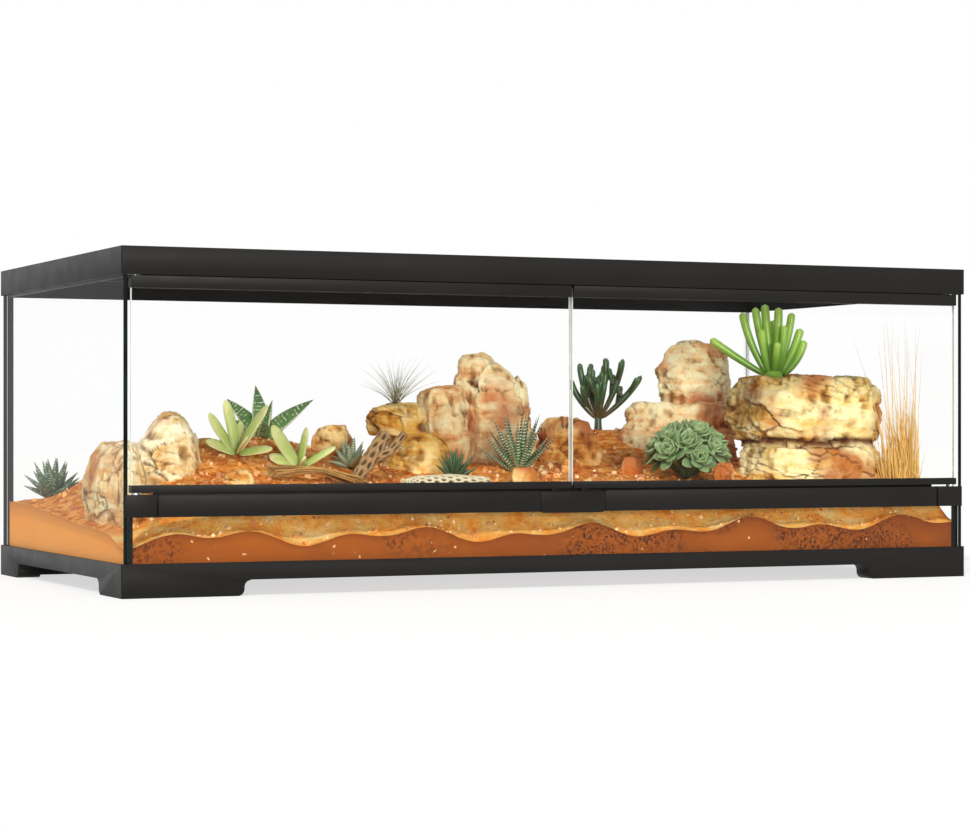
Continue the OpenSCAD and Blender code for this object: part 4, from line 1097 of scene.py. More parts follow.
@dataclass(frozen=True)
class Stone:
    """A stone of stacked slices: height over the soil level, two shifts and two half widths.

    The later fields shape its surface, in millimetres unless they are shares: the chips' number
    and depths, the slope and height of its beds, its blocks' size, how square it is, the height
    of its cut with painted shade, far below where there is none, and how sharply its planes meet.
    """

    x: float
    c: float
    slices: tuple[tuple[float, ...], ...]
    sides: int = 8
    seed: int = 1
    detail: int = 160
    chips: int = 7
    cut: tuple[float, float] = (0.9, 0.98)
    dip: float = 0.12
    bed: float = 8.5
    block: float = 26.0
    square: float = 0.0
    gap: float = -99.0
    power: float = 60.0

    def corners(self) -> Array:
        """Corners of the slices, each with its scatter, as the solid has them.

        Returns:
            One row for each corner, in millimetres.
        """
        q = np.array(self.slices)[:, None]
        k, i = np.arange(len(self.slices))[:, None], np.arange(self.sides)[None]
        a = (i + 0.35 * chance(self.seed + i)) * 360 / self.sides + 20
        full = (sine(a + 90) ** 4 + sine(a) ** 4) ** -0.25
        r = (1 + 0.07 * chance(self.seed * 7 + i + k * self.sides)) * (1 + self.square * (full - 1))
        last = (k == len(self.slices) - 1) * chance(self.seed + i * 3)
        x = self.x + q[..., 1] + q[..., 3] * r * sine(a + 90)
        y = self.c + INSIDE.front + q[..., 2] + q[..., 4] * r * sine(a)
        return np.stack([x, y, INSIDE.soil_level + q[..., 0] + last], -1).reshape(-1, 3)

    def planes(self, centre: Array) -> tuple[Array, Array]:
        """Face planes of the corners' hull, each once, and of the chips cut off it.

        Args:
            centre: a place inside it.

        Returns:
            The normals, and their distances from the centre.
        """
        corners = self.corners() - centre
        form = bmesh.new()
        for corner in corners:
            form.verts.new(corner)
        bmesh.ops.convex_hull(form, input=form.verts)
        form.normal_update()
        normals = np.array([f.normal for f in form.faces])
        spots = np.array([f.verts[0].co for f in form.faces])
        form.free()
        away = (normals * spots).sum(1)
        normals, away = normals * np.sign(away)[:, None], np.abs(away)
        alike = np.round(np.column_stack([normals, away / 40]), 2)
        single = np.unique(alike, axis=0, return_index=True)[1]
        random = np.random.default_rng(self.seed)
        chips = random.normal(0, 1, (self.chips, 3)) * (1, 1, 0.7)
        chips /= np.linalg.norm(chips, axis=1, keepdims=True)
        reach = (corners @ chips.T).max(0) * random.uniform(*self.cut, self.chips)
        return np.concatenate([normals[single], chips]), np.concatenate([away[single], reach])

    def surface(self, grain: Grain) -> tuple[Array, Array]:
        """Weathered surface of the stone and its skin.

        A direction's reach is the planes' soft least distance, a power mean. Beds of rock
        step in and out with the height, seams and cracks cut in, and three noises roughen it.

        Args:
            grain: the noise.

        Returns:
            Rows by columns of points, and of skin values.
        """
        corners = self.corners()
        low, high = corners.min(0), corners.max(0)
        centre, half = (low + high) / 2, (high - low) / 2
        normals, away = self.planes(centre)
        pitch = np.linspace(0, math.pi, self.detail // 2)[:, None]
        turn = np.linspace(0, TURN, self.detail, endpoint=False)[None]
        level = np.cos(pitch) + 0 * turn
        out = np.stack([np.sin(pitch) * np.cos(turn), np.sin(pitch) * np.sin(turn), level], -1)
        out = out * half
        out /= np.linalg.norm(out, axis=-1, keepdims=True)
        facing_out = np.maximum(out @ (normals / away[:, None]).T, 0)
        top = facing_out.max(-1, keepdims=True)
        reach = ((facing_out / top) ** self.power).sum(-1) ** (-1 / self.power) / top[..., 0]
        place = centre + reach[..., None] * out
        scale = min(1.0, half.max() / 45)
        tone_of, tilt, joint = self.fracture(place, centre, half, grain)
        tipped = place[..., 2] + self.dip * place[..., 0] - 0.1 * place[..., 1]
        warp = grain.layers(place + self.seed, 70, 3)
        bed = (tipped + 11 * warp + 3 * tone_of) / (self.bed * scale)
        bed = bed + 1.1 * grain.at(place * (0.2, 0.2, 1) + 9, 22)
        cell = np.floor(bed).astype(int)
        part = bed - cell
        step = smooth((part - 0.7) / 0.3)
        pick = grain.lattice[self.seed % 32, 3]
        ledge = pick[cell % 32] * (1 - step) + pick[(cell + 1) % 32] * step
        seam = np.exp(-(((part - 0.84) / 0.08) ** 2)) * smooth(grain.at(place, 26) * 2.2 - 0.1)
        crack = smooth(1 - joint / 1.6) * smooth(grain.at(place + 71, 50) * 2 + 0.6)
        broad, fine = grain.layers(place + 31, 55, 3), grain.layers(place, 7, 3)
        ridge = 1 - 2.6 * np.abs(grain.layers(place + 17, 15, 4))
        above = place[..., 2] - INSIDE.soil_level - self.gap
        # a band at the gap height: cut into the surface, and darkened there as painted shade
        notch_shade = np.exp(-(((above + 3.5 * broad) / 3.6) ** 2))
        offset = 0.6 + 2.0 * tone_of + tilt + 1.0 * ledge - 1.2 * seam - 2.6 * crack
        offset = offset + 1.6 * broad + 1.1 * fine + 1.3 * ridge - 5 * notch_shade
        place = place + (offset * scale)[..., None] * out
        # the surface's lowest spots, darkened as painted shade
        pit_shade = np.clip(-0.3 - 0.8 * ridge - 0.5 * fine, 0, 1)
        # dark: seams and cracks are dark joints; the cut band and the low spots are painted shade
        dark = np.clip(0.55 * seam + 0.85 * crack + 0.95 * notch_shade + 0.6 * pit_shade, 0, 1)
        shade = np.clip(0.5 + 0.3 * ledge + 0.35 * tone_of + 0.2 * ridge, 0, 1)
        return place, np.stack([dark, shade, 0.5 + 0.5 * broad], -1)

    def fracture(
        self, place: Array, centre: Array, half: Array, grain: Grain
    ) -> tuple[Array, Array, Array]:
        """Splits the rock into blocks, the cells of random middles, flatter than wide.

        Args:
            place: points of the surface.
            centre: middle of the rock.
            half: its half sizes.
            grain: the noise that makes the joints uneven.

        Returns:
            For each point: its block's random value, the tilt of the block's face in
            millimetres, and the distance to the nearest joint.
        """
        random = np.random.default_rng(self.seed + 500)
        count = int(np.clip(6 * np.prod(half / self.block) ** (2 / 3) + 8, 10, 90))
        middles = centre + random.uniform(-1, 1, (count, 3)) * half
        slant = random.uniform(-0.13, 0.13, (count, 3))
        value = random.uniform(-1, 1, count)
        moved = place + 4.5 * np.stack([grain.layers(place + k * 40, 18, 3) for k in range(3)], -1)
        squeeze = np.array([1, 1, 1.7])
        far = np.linalg.norm((moved[..., None, :] - middles) * squeeze, axis=-1)
        order = np.argsort(far, axis=-1)
        near, second = (np.take_along_axis(far, order[..., k : k + 1], -1)[..., 0] for k in (0, 1))
        own = order[..., 0]
        tilt = np.clip(((place - middles[own]) * slant[own]).sum(-1), -3, 3)
        return value[own], tilt, second - near


@dataclass
class Stonework:
    """The stones of the landscape, with their solids' slices.

    A stacked stone reaches a little lower, into the one under it, and the left front stone
    tapers more than its solid.
    """

    grain: Grain = field(default_factory=lambda: Grain(11))
    bed: float = -20.0

    def plan(self) -> dict[str, tuple[Rock, tuple[Stone, ...]]]:
        """Kind and stones of each CAD node.

        Returns:
            Each node's name with its kind of rock and its stones.
        """
        b = self.bed
        front = ((-58, 0, 0, 22, 82), (4, 0, 0, 23, 82), (27, 0, 0, 19, 67), (42, 2, -4, 11, 42))
        tall = ((-58, 0, 0, 42, 46), (14, 0, 0, 41, 45), (46, 6, 2, 28, 34), (73, 12, 6, 10, 16))
        low = ((b, 0, 0, 36, 32), (18, 0, 0, 38, 34), (44, -2, 0, 30, 27), (52, -6, 2, 24, 22))
        high = ((50, 0, 0, 27, 22), (66, 0, 0, 33, 27), (78, 2, 0, 28, 23), (82, 6, 2, 18, 15))
        short = ((b, 0, 0, 27, 34), (50, 0, 0, 28, 34), (96, 0, 0, 27, 30), (103, 3, 0, 20, 22))
        long = ((b, 0, 0, 42, 42), (60, 0, 0, 43, 42), (86, -3, 0, 42, 38))
        peak = ((106, -6, 0, 37, 33), (127, -18, 2, 24, 25), (137, -25, 3, 15, 17))
        side = ((b, 0, 0, 36, 36), (34, 0, 0, 36, 34), (60, -4, 0, 26, 26), (68, -8, 0, 16, 16))
        base = ((b, 0, 0, 76, 44), (46, 0, 0, 74, 42), (84, 8, 2, 60, 36))
        tower = ((82, 0, 0, 43, 30), (122, -2, 0, 42, 30), (146, 4, 0, 36, 25), (153, 8, 0, 26, 18))
        slab = ((b, 0, 0, 78, 58), (16, 0, 0, 78, 58), (38, -3, 2, 74, 54))
        block = ((36, 3, 0, 74, 52), (56, 0, 0, 80, 57), (98, 0, 0, 80, 57), (112, 2, 2, 74, 52))
        loose = (
            (-21, 66, ((-16, 0, 0, 14, 12), (10, 0, 0, 15, 13), (17, 0, 0, 12, 10)), 6, 5, 70),
            (204, 56, ((-16, 0, 0, 12, 11), (10, 0, 0, 12, 11), (21, 1, 0, 8, 7)), 6, 8, 70),
            (-300, 228, ((8, 0, 0, 15, 12), (34, 0, 0, 14, 12), (46, -2, 0, 9, 8)), 6, 13, 70),
            (-160, 236, ((6, 0, 0, 24, 18), (44, 0, 0, 23, 18), (60, 0, 0, 14, 11)), 7, 15, 90),
            (146, 152, ((-2, 0, 0, 11, 10), (18, 0, 0, 11, 9), (26, 0, 0, 7, 6)), 6, 19, 70),
            (72, 150, ((-2, 0, 0, 13, 11), (18, 0, 0, 12, 10), (25, 0, 0, 8, 7)), 6, 25, 70),
            (-310, 96, ((-14, 0, 0, 16, 13), (8, 0, 0, 16, 13), (16, 0, 0, 10, 8)), 6, 29, 70),
        )
        return {
            "rock_left_front": (Rock.CREAM, (Stone(-420, 142, front, 8, 3, 200),)),
            "rock_left_tall": (Rock.CREAM, (Stone(-362, 170, tall, 8, 11, 200),)),
            "rock_orange_stack": (
                Rock.HONEY,
                (Stone(-85, 184, low, 8, 21), Stone(-108, 192, high, 8, 27)),
            ),
            "rock_centre": (
                Rock.ROSE,
                (Stone(-49, 203, short, 8, 33), Stone(18, 218, long + peak, 9, 41, 230)),
            ),
            "rock_centre_right": (Rock.ORANGE, (Stone(99, 210, side, 8, 51),)),
            "rock_back_base": (Rock.ROSE, (Stone(262, 262, base, 9, 61, 200),)),
            "rock_back_tower": (Rock.ROSE, (Stone(290, 278, tower, 9, 71),)),
            "rock_right_slab": (
                Rock.GOLD,
                (Stone(348, 122, slab, 11, 81, 240, square=0.8, gap=40),),
            ),
            "rock_right_block": (
                Rock.GOLD,
                (Stone(346, 132, block, 11, 91, 240, square=0.8, gap=42),),
            ),
            "loose_stones": (Rock.ORANGE, tuple(Stone(*row) for row in loose)),
        }

    def build(self) -> None:
        """Makes one piece for each node."""
        finishes = {rock: rock.value.make() for rock in Rock}
        for node, (rock, stones) in self.plan().items():
            clay = Clay()
            for stone in stones:
                clay.grid(*stone.surface(self.grain))
            name = node.replace("rock_", "stone_")
            clay.piece(name, [finishes[rock]], rock.slot(), [node])


# ------------------------------------------------------------------------------ plants


def turned(heading: float) -> float:
    """Roll, in degrees, that turns the upper face of a leaf with this heading to the front."""
    return -50.0 if 66 < heading % 360 < 246 else 50.0


@dataclass
class Planting:
    """The plants, rooted at the same places as their solids.

    The cluster has this many heads, and block_top is the right block's height over the soil
    level in millimetres.
    """

    ground: Ground
    heads: int = 17
    block_top: float = 112.0

    def seat(self, x: float, c: float, dz: float = 1.0) -> Array:
        """Place in the tank over a layout place, raised over the soil."""
        return np.array([x, c + INSIDE.front, float(self.ground.height(x, c)) + dz])

    def rosette(
        self,
        clay: Clay,
        base: Array,
        count: int,
        lengths: tuple[float, float],
        blade: Blade,
        tilt: tuple[float, float],
        bend: float,
        turn: float = 0.0,
    ) -> None:
        """Adds leaves on a golden-angle spiral, steep in the middle and low outside.

        Args:
            clay: what they are added to.
            base: root in millimetres.
            count: number of leaves.
            lengths: lengths of the innermost and outermost leaf.
            blade: outline and section.
            tilt: elevations of the innermost and outermost leaf.
            bend: bend of the outermost leaf.
            turn: heading of the first leaf.
        """
        for i in range(count):
            f = i / (count - 1)
            wobble = chance(i + turn)
            bowed(
                clay,
                base + [0, 0, 2 - 2 * f],
                turn + i * GOLDEN + 5 * wobble,
                tilt[0] + (tilt[1] - tilt[0]) * f + 3 * wobble,
                bend * f or 0.01,
                (lengths[0] + (lengths[1] - lengths[0]) * f) * (1 + 0.06 * wobble),
                blade,
                0.5 + 0.5 * wobble,
            )

    def fan(
        self,
        clay: Clay,
        base: Array,
        leaves: Sequence[Sequence[float]],
        pattern: Blade,
        spread: float,
        start: int = 0,
    ) -> None:
        """Adds leaves of a table, each turned so that its upper face shows at the front.

        Args:
            clay: what they are added to.
            base: root in millimetres.
            leaves: heading, elevation, bend, length and width of each.
            pattern: outline and section, whose width is a share of each leaf's.
            spread: how far the third skin value varies from 0.5.
            start: number of the first leaf in the scatter.
        """
        for i, (heading, tilt, bend, length, width) in enumerate(leaves):
            blade = replace(pattern, width=pattern.width * width, roll=turned(heading))
            shade = 0.5 + spread * chance(start + i)
            bowed(clay, base, heading, tilt, bend, length, blade, shade)

    def build(self) -> None:
        """Makes all the plants."""
        self.rosettes()
        self.strap_leaf()
        self.aloe()
        self.jade()
        self.cluster()
        self.fingers()

    def rosettes(self) -> None:
        """Makes the four pointed rosettes."""
        spotted = Leaf("spotted_leaf", "2e4030", "45614a", "5d7458", marking=Marking.TIGER, bars=14)
        dark = Leaf("dark_leaf", "2b3b25", "3d5a3a", "4f6b45")
        grey = Leaf("grey_leaf", "4c5f48", "6f8465", "93a47f", marking=Marking.BARS, bars=12)
        zebra = Leaf("zebra_leaf", "5a8a4a", "36552f", "55432e", marking=Marking.BARS, bars=19)
        broad = Blade(10, 5, 0.25, rows=14, sides=8)
        fine = Blade(5, 3.5, 0.25, rows=12, sides=8)
        middling = Blade(8, 4, rows=12, sides=8)
        pointed = Blade(6.8, 4.4, 0.2, rows=18, sides=10, drop=1.1)
        blue, green = "blue_green_leaf", "dark_green_leaf"
        for name, slot, finish, spot, *leaves in (
            ("left_rosette", blue, spotted, (-414, 392), 24, (40, 38), broad, (84, 22), -8),
            ("small_rosette", green, dark, (-75, 112), 30, (30, 26), fine, (86, 24), -8),
            ("grey_rosette", blue, grey, (-166, 168), 18, (30, 24), middling, (82, 22), -14),
            ("zebra_rosette", green, zebra, (2, 124), 24, (64, 54), pointed, (80, 26), 10),
        ):
            clay = Clay()
            self.rosette(clay, self.seat(*spot), *leaves)
            clay.piece(name, [finish.make()], slot, [f"plant_{name}"])

    def strap_leaf(self) -> None:
        """Makes the two clumps of blunt, pale strap leaves."""
        left = (
            (156, 50, 12, 50, 10), (140, 80, -6, 56, 10), (-24, 62, -8, 58, 10),
            (165, 30, -14, 34, 11), (-20, 14, -10, 36, 9), (60, 60, -10, 40, 9),
            (-90, 40, -20, 34, 9),
        )
        right = (
            (150, 52, 10, 52, 13), (160, 28, -12, 34, 12), (-10, 84, -6, 42, 7),
            (-24, 36, -10, 42, 8), (70, 55, -10, 34, 8), (-100, 35, -20, 26, 8),
        )
        clay = Clay()
        strap = Blade(1.15, 3.6, 0.5, 0.6, 3.5, 0.6, rows=16)
        self.fan(clay, self.seat(-285, 174), left, strap, 0.5)
        self.fan(clay, self.seat(-224, 158), right, strap, 0.5, 9)
        finish = Leaf("strap_leaf", "7d9a3c", "abc45c", "eef0a8", rim="f2f4c4", rim_share=0.6)
        clay.piece("strap_plant", [finish.make()], "green_leaf", ["plant_strap_leaf"])

    def aloe(self) -> None:
        """Makes the broad banded aloe."""
        leaves = (
            (150, 86, -8, 54, 15), (158, 52, -10, 54, 15), (-24, 42, -12, 66, 15),
            (165, 30, 0, 36, 13), (-40, 78, -8, 40, 10), (80, 55, -8, 46, 13),
            (-110, 35, -20, 34, 13), (20, 30, -10, 40, 13),
        )
        clay = Clay()
        broad = Blade(1.35, 6, 0.36, 0.8, 1.5, 1.0, 0.15, 0.8, 20, 12)
        self.fan(clay, self.seat(-230, 254), leaves, broad, 0.4)
        finish = Leaf("tiger_leaf", "86a456", "527a40", "3a5c34", "d3dcb0", 0.7, Marking.TIGER, 15)
        clay.piece("tiger_aloe", [finish.make()], "green_leaf", ["plant_tiger_aloe"])

    def jade(self) -> None:
        """Makes the branching plant with dark tubular leaves, three small ones on each limb."""
        limbs = (
            (156, 48, 46), (150, 66, 60), (120, 74, 56), (-24, 84, 62), (-30, 62, 66),
            (-24, 40, 62), (60, 60, 50), (-120, 62, 40),
        )
        twigs = ((3, 70, 0, 30), (6, -60, -8, 26), (5, 150, -4, 24))
        base = self.seat(190, 318)
        clay = Clay()
        stem = along_path([base - [0, 0, 4], base + [0, 0, 14]], 6)
        tube(clay, stem, np.array([5, 4.6, 4.2, 4, 4, 3.4]), 12, 0.2)
        large = Blade(7.4, 7.4, 0.7, 0.5, 5, 0.5, 0.5, 0.5, 14, 10)
        small = Blade(6.4, 6.4, 0.7, 0.5, 5, 0.5, 0.5, 0.5, 12, 9)
        for i, (heading, tilt, length) in enumerate(limbs):
            lift = 24 if tilt < 80 else 8
            shade = 0.3 + 0.3 * chance(i)
            root = base + [0, 0, 9]
            spine = bowed(clay, root, heading, tilt - 6, lift, length * 1.14, large, shade)
            for k, (row, swing, lean, size) in enumerate(twigs):
                shade = 0.5 + 0.4 * chance(3 * i + k)
                bowed(clay, spine[row], heading + swing, tilt + lean, 22, size, small, shade)
        finish = Leaf("jade_leaf", "6b4a2a", "1f4024", "3f6a3c", rough=0.3)
        clay.piece("dark_jade", [finish.make()], "dark_green_leaf", ["plant_dark_jade"])

    def cluster(self) -> None:
        """Makes the ball of spoon-leaved rosettes, each facing out from the ball's middle."""
        base = self.seat(186, 106)
        clay = Clay()
        spoon = Blade(13.0, 4.0, 0.58, 0.35, 1.7, 0.85, 0.15, 0.8, 12, 10)
        for i in range(self.heads):
            high = 1 - 1.15 * (i + 0.5) / self.heads
            turn = math.radians(i * GOLDEN)
            flat = math.sqrt(1 - high * high)
            out = np.array([flat * math.cos(turn), flat * math.sin(turn), high])
            top = base + (0, -5, 24) + out * (32, 29, 26)
            tube(clay, along_path([base + (0, -2, 4), top], 8), np.full(8, 4.5), 8, 0.0)
            head = Clay()
            self.rosette(head, np.zeros(3), 20, (10, 24), spoon, (78, -4), 14, i * 51.0)
            up = out * (1, 1, 0.8) + (0, 0, 0.45)
            up /= np.linalg.norm(up)
            side = np.cross((0.3, 1, 0.1), up)
            side /= np.linalg.norm(side)
            axes = np.stack([side, np.cross(up, side), up])
            for points, faces, skin in zip(head.points, head.faces, head.skins):
                clay.add(top + points @ axes, faces - faces.min() + clay.count, skin)
        # dark root: painted shade deep in the rosettes; pale tip and rim: painted highlight
        finish = Leaf("cluster_leaf", "1c3022", "476641", "8aa36e", "bccb96", 0.4, rough=0.46)
        clay.piece("echeveria", [finish.make()], "blue_green_leaf", ["plant_echeveria"])

    def fingers(self) -> None:
        """Makes the bright finger plant on the right block.

        Its limbs are rows of heading, elevation, bend, length and shift of the root to the right.
        """
        limbs = (
            (156, 58, 20, 74, -6), (150, 72, 10, 76, -2), (120, 80, 6, 78, 0), (-24, 84, 6, 74, 3),
            (-30, 72, 10, 70, 6), (-24, 58, 16, 56, 9), (-24, 38, 40, 46, 12),
            (160, 30, 6, 72, -8), (60, 74, 8, 62, 2), (90, 60, 20, 54, 0), (200, 66, 18, 52, -4),
            (-70, 66, 20, 56, 4), (-100, 50, 30, 40, 0),
        )
        base = np.array([312, 142 + INSIDE.front, INSIDE.soil_level + self.block_top])
        clay = Clay()
        stem = along_path([base - [0, 0, 4], base + [0, 0, 7]], 5)
        tube(clay, stem, np.array([13, 12, 11, 10, 8]), 14, 0.1)
        for i, (heading, tilt, bend, length, shift) in enumerate(limbs):
            pick = chance(i)
            wide = 9.0 + 1.4 * pick
            blade = Blade(wide, wide, 0.8, 0.66, 7, 0.5, 0.5, 0.5, 18, 12)
            root, shade = base + [shift, 0, 2], 0.5 + 0.5 * pick
            bowed(clay, root, heading + 9 * pick, tilt, bend, length, blade, shade)
        finish = Leaf("finger_leaf", "3c6618", "659a26", "a6cc52", rough=0.32)
        clay.piece("finger_plant", [finish.make()], "green_leaf", ["plant_finger"])


# ------------------------------------------------------------------------------ wood and grass


@dataclass
class Deadwood:
    """Perforated wood, cholla, straw and the two grasses."""

    planting: Planting
    straws: int = 70
    wisps: int = 95
    blades: int = 300
    tall_blades: int = 15

    def build(self) -> None:
        """Makes all of it."""
        self.perforated()
        self.cholla()
        self.straw()
        random = np.random.default_rng(31)
        self.wispy(random)
        self.tall(random)

    @staticmethod
    def pierced(
        clay: Clay,
        path: Array,
        radii: Array,
        sides: int,
        holes: tuple[int, int],
        depth: float,
        dark: float = 1.0,
        twist: Array = 0.0,
    ) -> None:
        """Adds a tube of rounded holes on a staggered grid, painted shade in the third skin value.

        Each of the holes is as deep as the smooth step of one less the distance to its middle.

        Args:
            clay: what it is added to.
            path: points of the centreline in millimetres.
            radii: one radius for each point.
            sides: points round the tube.
            holes: holes round it and along it.
            depth: depth of a hole in millimetres.
            dark: third skin value in the holes, their painted shade.
            twist: what is added to the radius, for each row.
        """
        a = np.linspace(0, holes[1], len(path))[:, None]
        b = np.linspace(0, holes[0], sides, endpoint=False)[None] + 0.5 * (np.floor(a) % 2)
        far = np.hypot(((a % 1) - 0.5) / 0.36, ((b % 1) - 0.5) / 0.3)
        deep = smooth((1.15 - far) / 0.4)
        tube(clay, path, radii, sides, 0.0, twist - depth * deep)
        # painted shade: the skin darkens the dents as holes
        clay.skins[-1][:, 2] = np.pad(deep, ((1, 1), (0, 0))).ravel() * dark

    def perforated(self) -> None:
        """Makes the pale wood with its rows of holes."""
        rows = 130
        p, q = self.planting.seat(-150, 68, 2), self.planting.seat(-56, 68, 0)
        path = along_path([p, p + (q - p) * 0.15, p + (q - p) * 0.55, q], rows)
        radii = np.interp(np.linspace(0, 3, rows), [0, 1, 2, 3], [5, 9, 11, 8]) * 0.99
        radii[:3] *= (0.4, 0.7, 0.9)
        radii[-3:] *= (0.9, 0.7, 0.4)
        clay = Clay()
        self.pierced(clay, path, radii, 90, (12, 15), 2.6)
        finish = Fibre("pale_wood", "f0e6cb", "cdbb92", "2e2114", 20).make()
        clay.piece("pale_perforated_wood", [finish], "pale_wood", ["perforated_wood"])

    def cholla(self) -> None:
        """Makes the brown lattice wood with its arm."""
        rows = 96
        a = self.planting.seat(-186, 102, 3)
        arm = a + [20, 16, 20]
        clay = Clay()
        twist = np.sin(np.linspace(0, 40, rows))[:, None] * 0.25
        for corners, radii, holes in (
            ([a, a + [22, 17, 22], a + [44, 34, 44]], (7, 8, 7.4), (6, 5)),
            ([arm, arm + [24, 4, 8], arm + [44, 14, 26]], (5, 4.6, 4), (5, 4)),
        ):
            path = along_path(corners, rows)
            around = np.interp(np.linspace(0, 2, rows), [0, 1, 2], radii)
            self.pierced(clay, path, around, 60, holes, 2.4, 0.8, twist)
        finish = Fibre("brown_wood", "d2ab78", "6e4a2a", "24140a", 60).make()
        clay.piece("brown_cholla_wood", [finish], "brown_wood", ["cholla_wood"])

    def straw(self) -> None:
        """Makes the bundle: bent straws that spread round a tight core."""
        a, b = self.planting.seat(-262, 118, 4), self.planting.seat(-186, 100, 1)
        random = np.random.default_rng(23)
        clay = Clay()
        for _ in range(self.straws):
            u = random.normal(0, 1, 3) * (3.0, 3.4, 2.2) + (0, 0, 5)
            v = random.normal(0, 1, 3) * (5.0, 4.6, 1.6) + (0, 0, 3)
            middle = (a + b) / 2 + (u + v) / 3 + np.array([0, 0, 7 + 3 * random.random()])
            path = along_path([a + u - (random.random() * 8, 0, 0), middle, b + v], 12)
            radii = np.full(12, 0.55 + 0.5 * random.random())
            tube(clay, path, radii, 6, random.random() * 0.45)
        finish = Fibre("dry_straw", "d9b06a", "9a6c34", "5b3917", 6).make()
        clay.piece("straw", [finish], "dry_straw", ["straw_bundle"])

    def wispy(self, random: np.random.Generator) -> None:
        """Makes the wispy tuft on the orange stack, its blades on a golden-angle spiral.

        Args:
            random: where its random numbers come from.
        """
        base = np.array([-106, 194 + INSIDE.front, INSIDE.soil_level + 81])
        blade = Blade(0.62, 0.4, 0.1, 0.9, 1.2, 1.0, rows=10, sides=4)
        clay = Clay()
        for i in range(self.wisps):
            start = base + random.normal(0, 1.3, 3) * (1, 1, 0.2)
            tilt = 86 - 44 * random.random() ** 1.3
            bend = -12 - 26 * random.random()
            length = 26 + 38 * random.random()
            bowed(clay, start, i * GOLDEN, tilt, bend, length, blade, random.random() * 0.5)
        finish = Fibre("wispy_grass", "c4c2a4", "8f8f6c", "77704c", 4).make()
        clay.piece("wispy_grass", [finish], "dry_straw", ["grass_tuft"])

    def tall(self, random: np.random.Generator) -> None:
        """Makes the dry grass at the right, a few of whose blades stand far over the others.

        Args:
            random: where its random numbers come from.
        """
        base = self.planting.seat(425, 56)
        clay = Clay()
        for i in range(self.blades):
            high = i < self.tall_blades
            length = random.uniform(150, 190) if high else 26 + 84 * random.random() ** 1.5
            start = base + (random.uniform(-22, 14), random.uniform(-12, 14), -4)
            blade = Blade(1.5 if high else 1.4, 0.9, 0.1, 0.9, 1.1, 1.0, rows=14, sides=4)
            tilt = 90 - abs(random.normal(0, 4.0 if high else 9.0))
            heading, bend = random.uniform(80, 285), random.uniform(-16, 14)
            bowed(clay, start, heading, tilt, bend, length, blade, random.random() * 0.3)
        finish = Fibre("golden_grass", "ffe08c", "eab456", "c08434", 4).make()
        clay.piece("tall_dry_grass", [finish], "dry_straw", ["dry_grass"])


# ------------------------------------------------------------------------------ tank


@dataclass
class Casing:
    """Frames, sill, doors, latch, locks and shutters, with soft edges over the CAD shapes.

    Lengths are in millimetres and angles in degrees. In a pierced node, a face of more than
    most_corners is split before its edges are rounded, so that its slots stay open.
    """

    plastic: bpy.types.Material
    merge: float = 0.012
    flat: float = 0.5
    sharp: float = 35.0
    edge: float = 0.5
    most_corners: int = 8
    pierced: tuple[str, ...] = ("top_frame", "screen_frame")
    soft: dict[str, float] = field(
        default_factory=lambda: {
            "base_frame": 0.7,
            "top_frame": 0.7,
            "screen_frame": 0.8,
            "sill_cover": 0.45,
            "sill_end_left": 0.6,
            "sill_end_right": 0.6,
            "left_door_top_rail": 0.15,
            "right_door_top_rail": 0.15,
        }
    )

    def build(self) -> None:
        """Makes a soft-edged copy for each node of black plastic."""
        record = frame["record"]
        homes = {n: body for body, names in record["behaviour"]["bodies"].items() for n in names}
        for part in record["subparts"]:
            if part["material_slot"] == "black_plastic":
                self.copy(part["node"], homes[part["node"]])

    def copy(self, node: str, body: str) -> None:
        """Merges a copy of a node's mesh, splits its pierced faces and rounds its edges.

        Args:
            node: the CAD node.
            body: its body.
        """
        mesh = frame["nodes"][node].data.copy()
        mesh.materials.clear()
        mesh.materials.append(self.plastic)
        form = bmesh.new()
        form.from_mesh(mesh)
        bmesh.ops.remove_doubles(form, verts=form.verts, dist=self.merge * MM)
        flat = math.radians(self.flat)
        bmesh.ops.dissolve_limit(form, angle_limit=flat, verts=form.verts, edges=form.edges)
        if node in self.pierced:
            many = [face for face in form.faces if len(face.verts) > self.most_corners]
            bmesh.ops.triangulate(form, faces=many)
        form.to_mesh(mesh)
        form.free()
        mesh.shade_smooth()
        piece = placed(bpy.data.objects.new(f"{node}_shell", mesh), body, [node])
        bevel = piece.modifiers.new("soft_edge", "BEVEL")
        bevel.width = self.soft.get(node, self.edge) * MM
        bevel.segments = 2
        bevel.limit_method = "ANGLE"
        bevel.angle_limit = math.radians(self.sharp)
        bevel.harden_normals = True


def dress(node: str, material: bpy.types.Material) -> None:
    """Gives a CAD node another material."""
    frame["nodes"][node].data.materials.clear()
    frame["nodes"][node].data.materials.append(material)


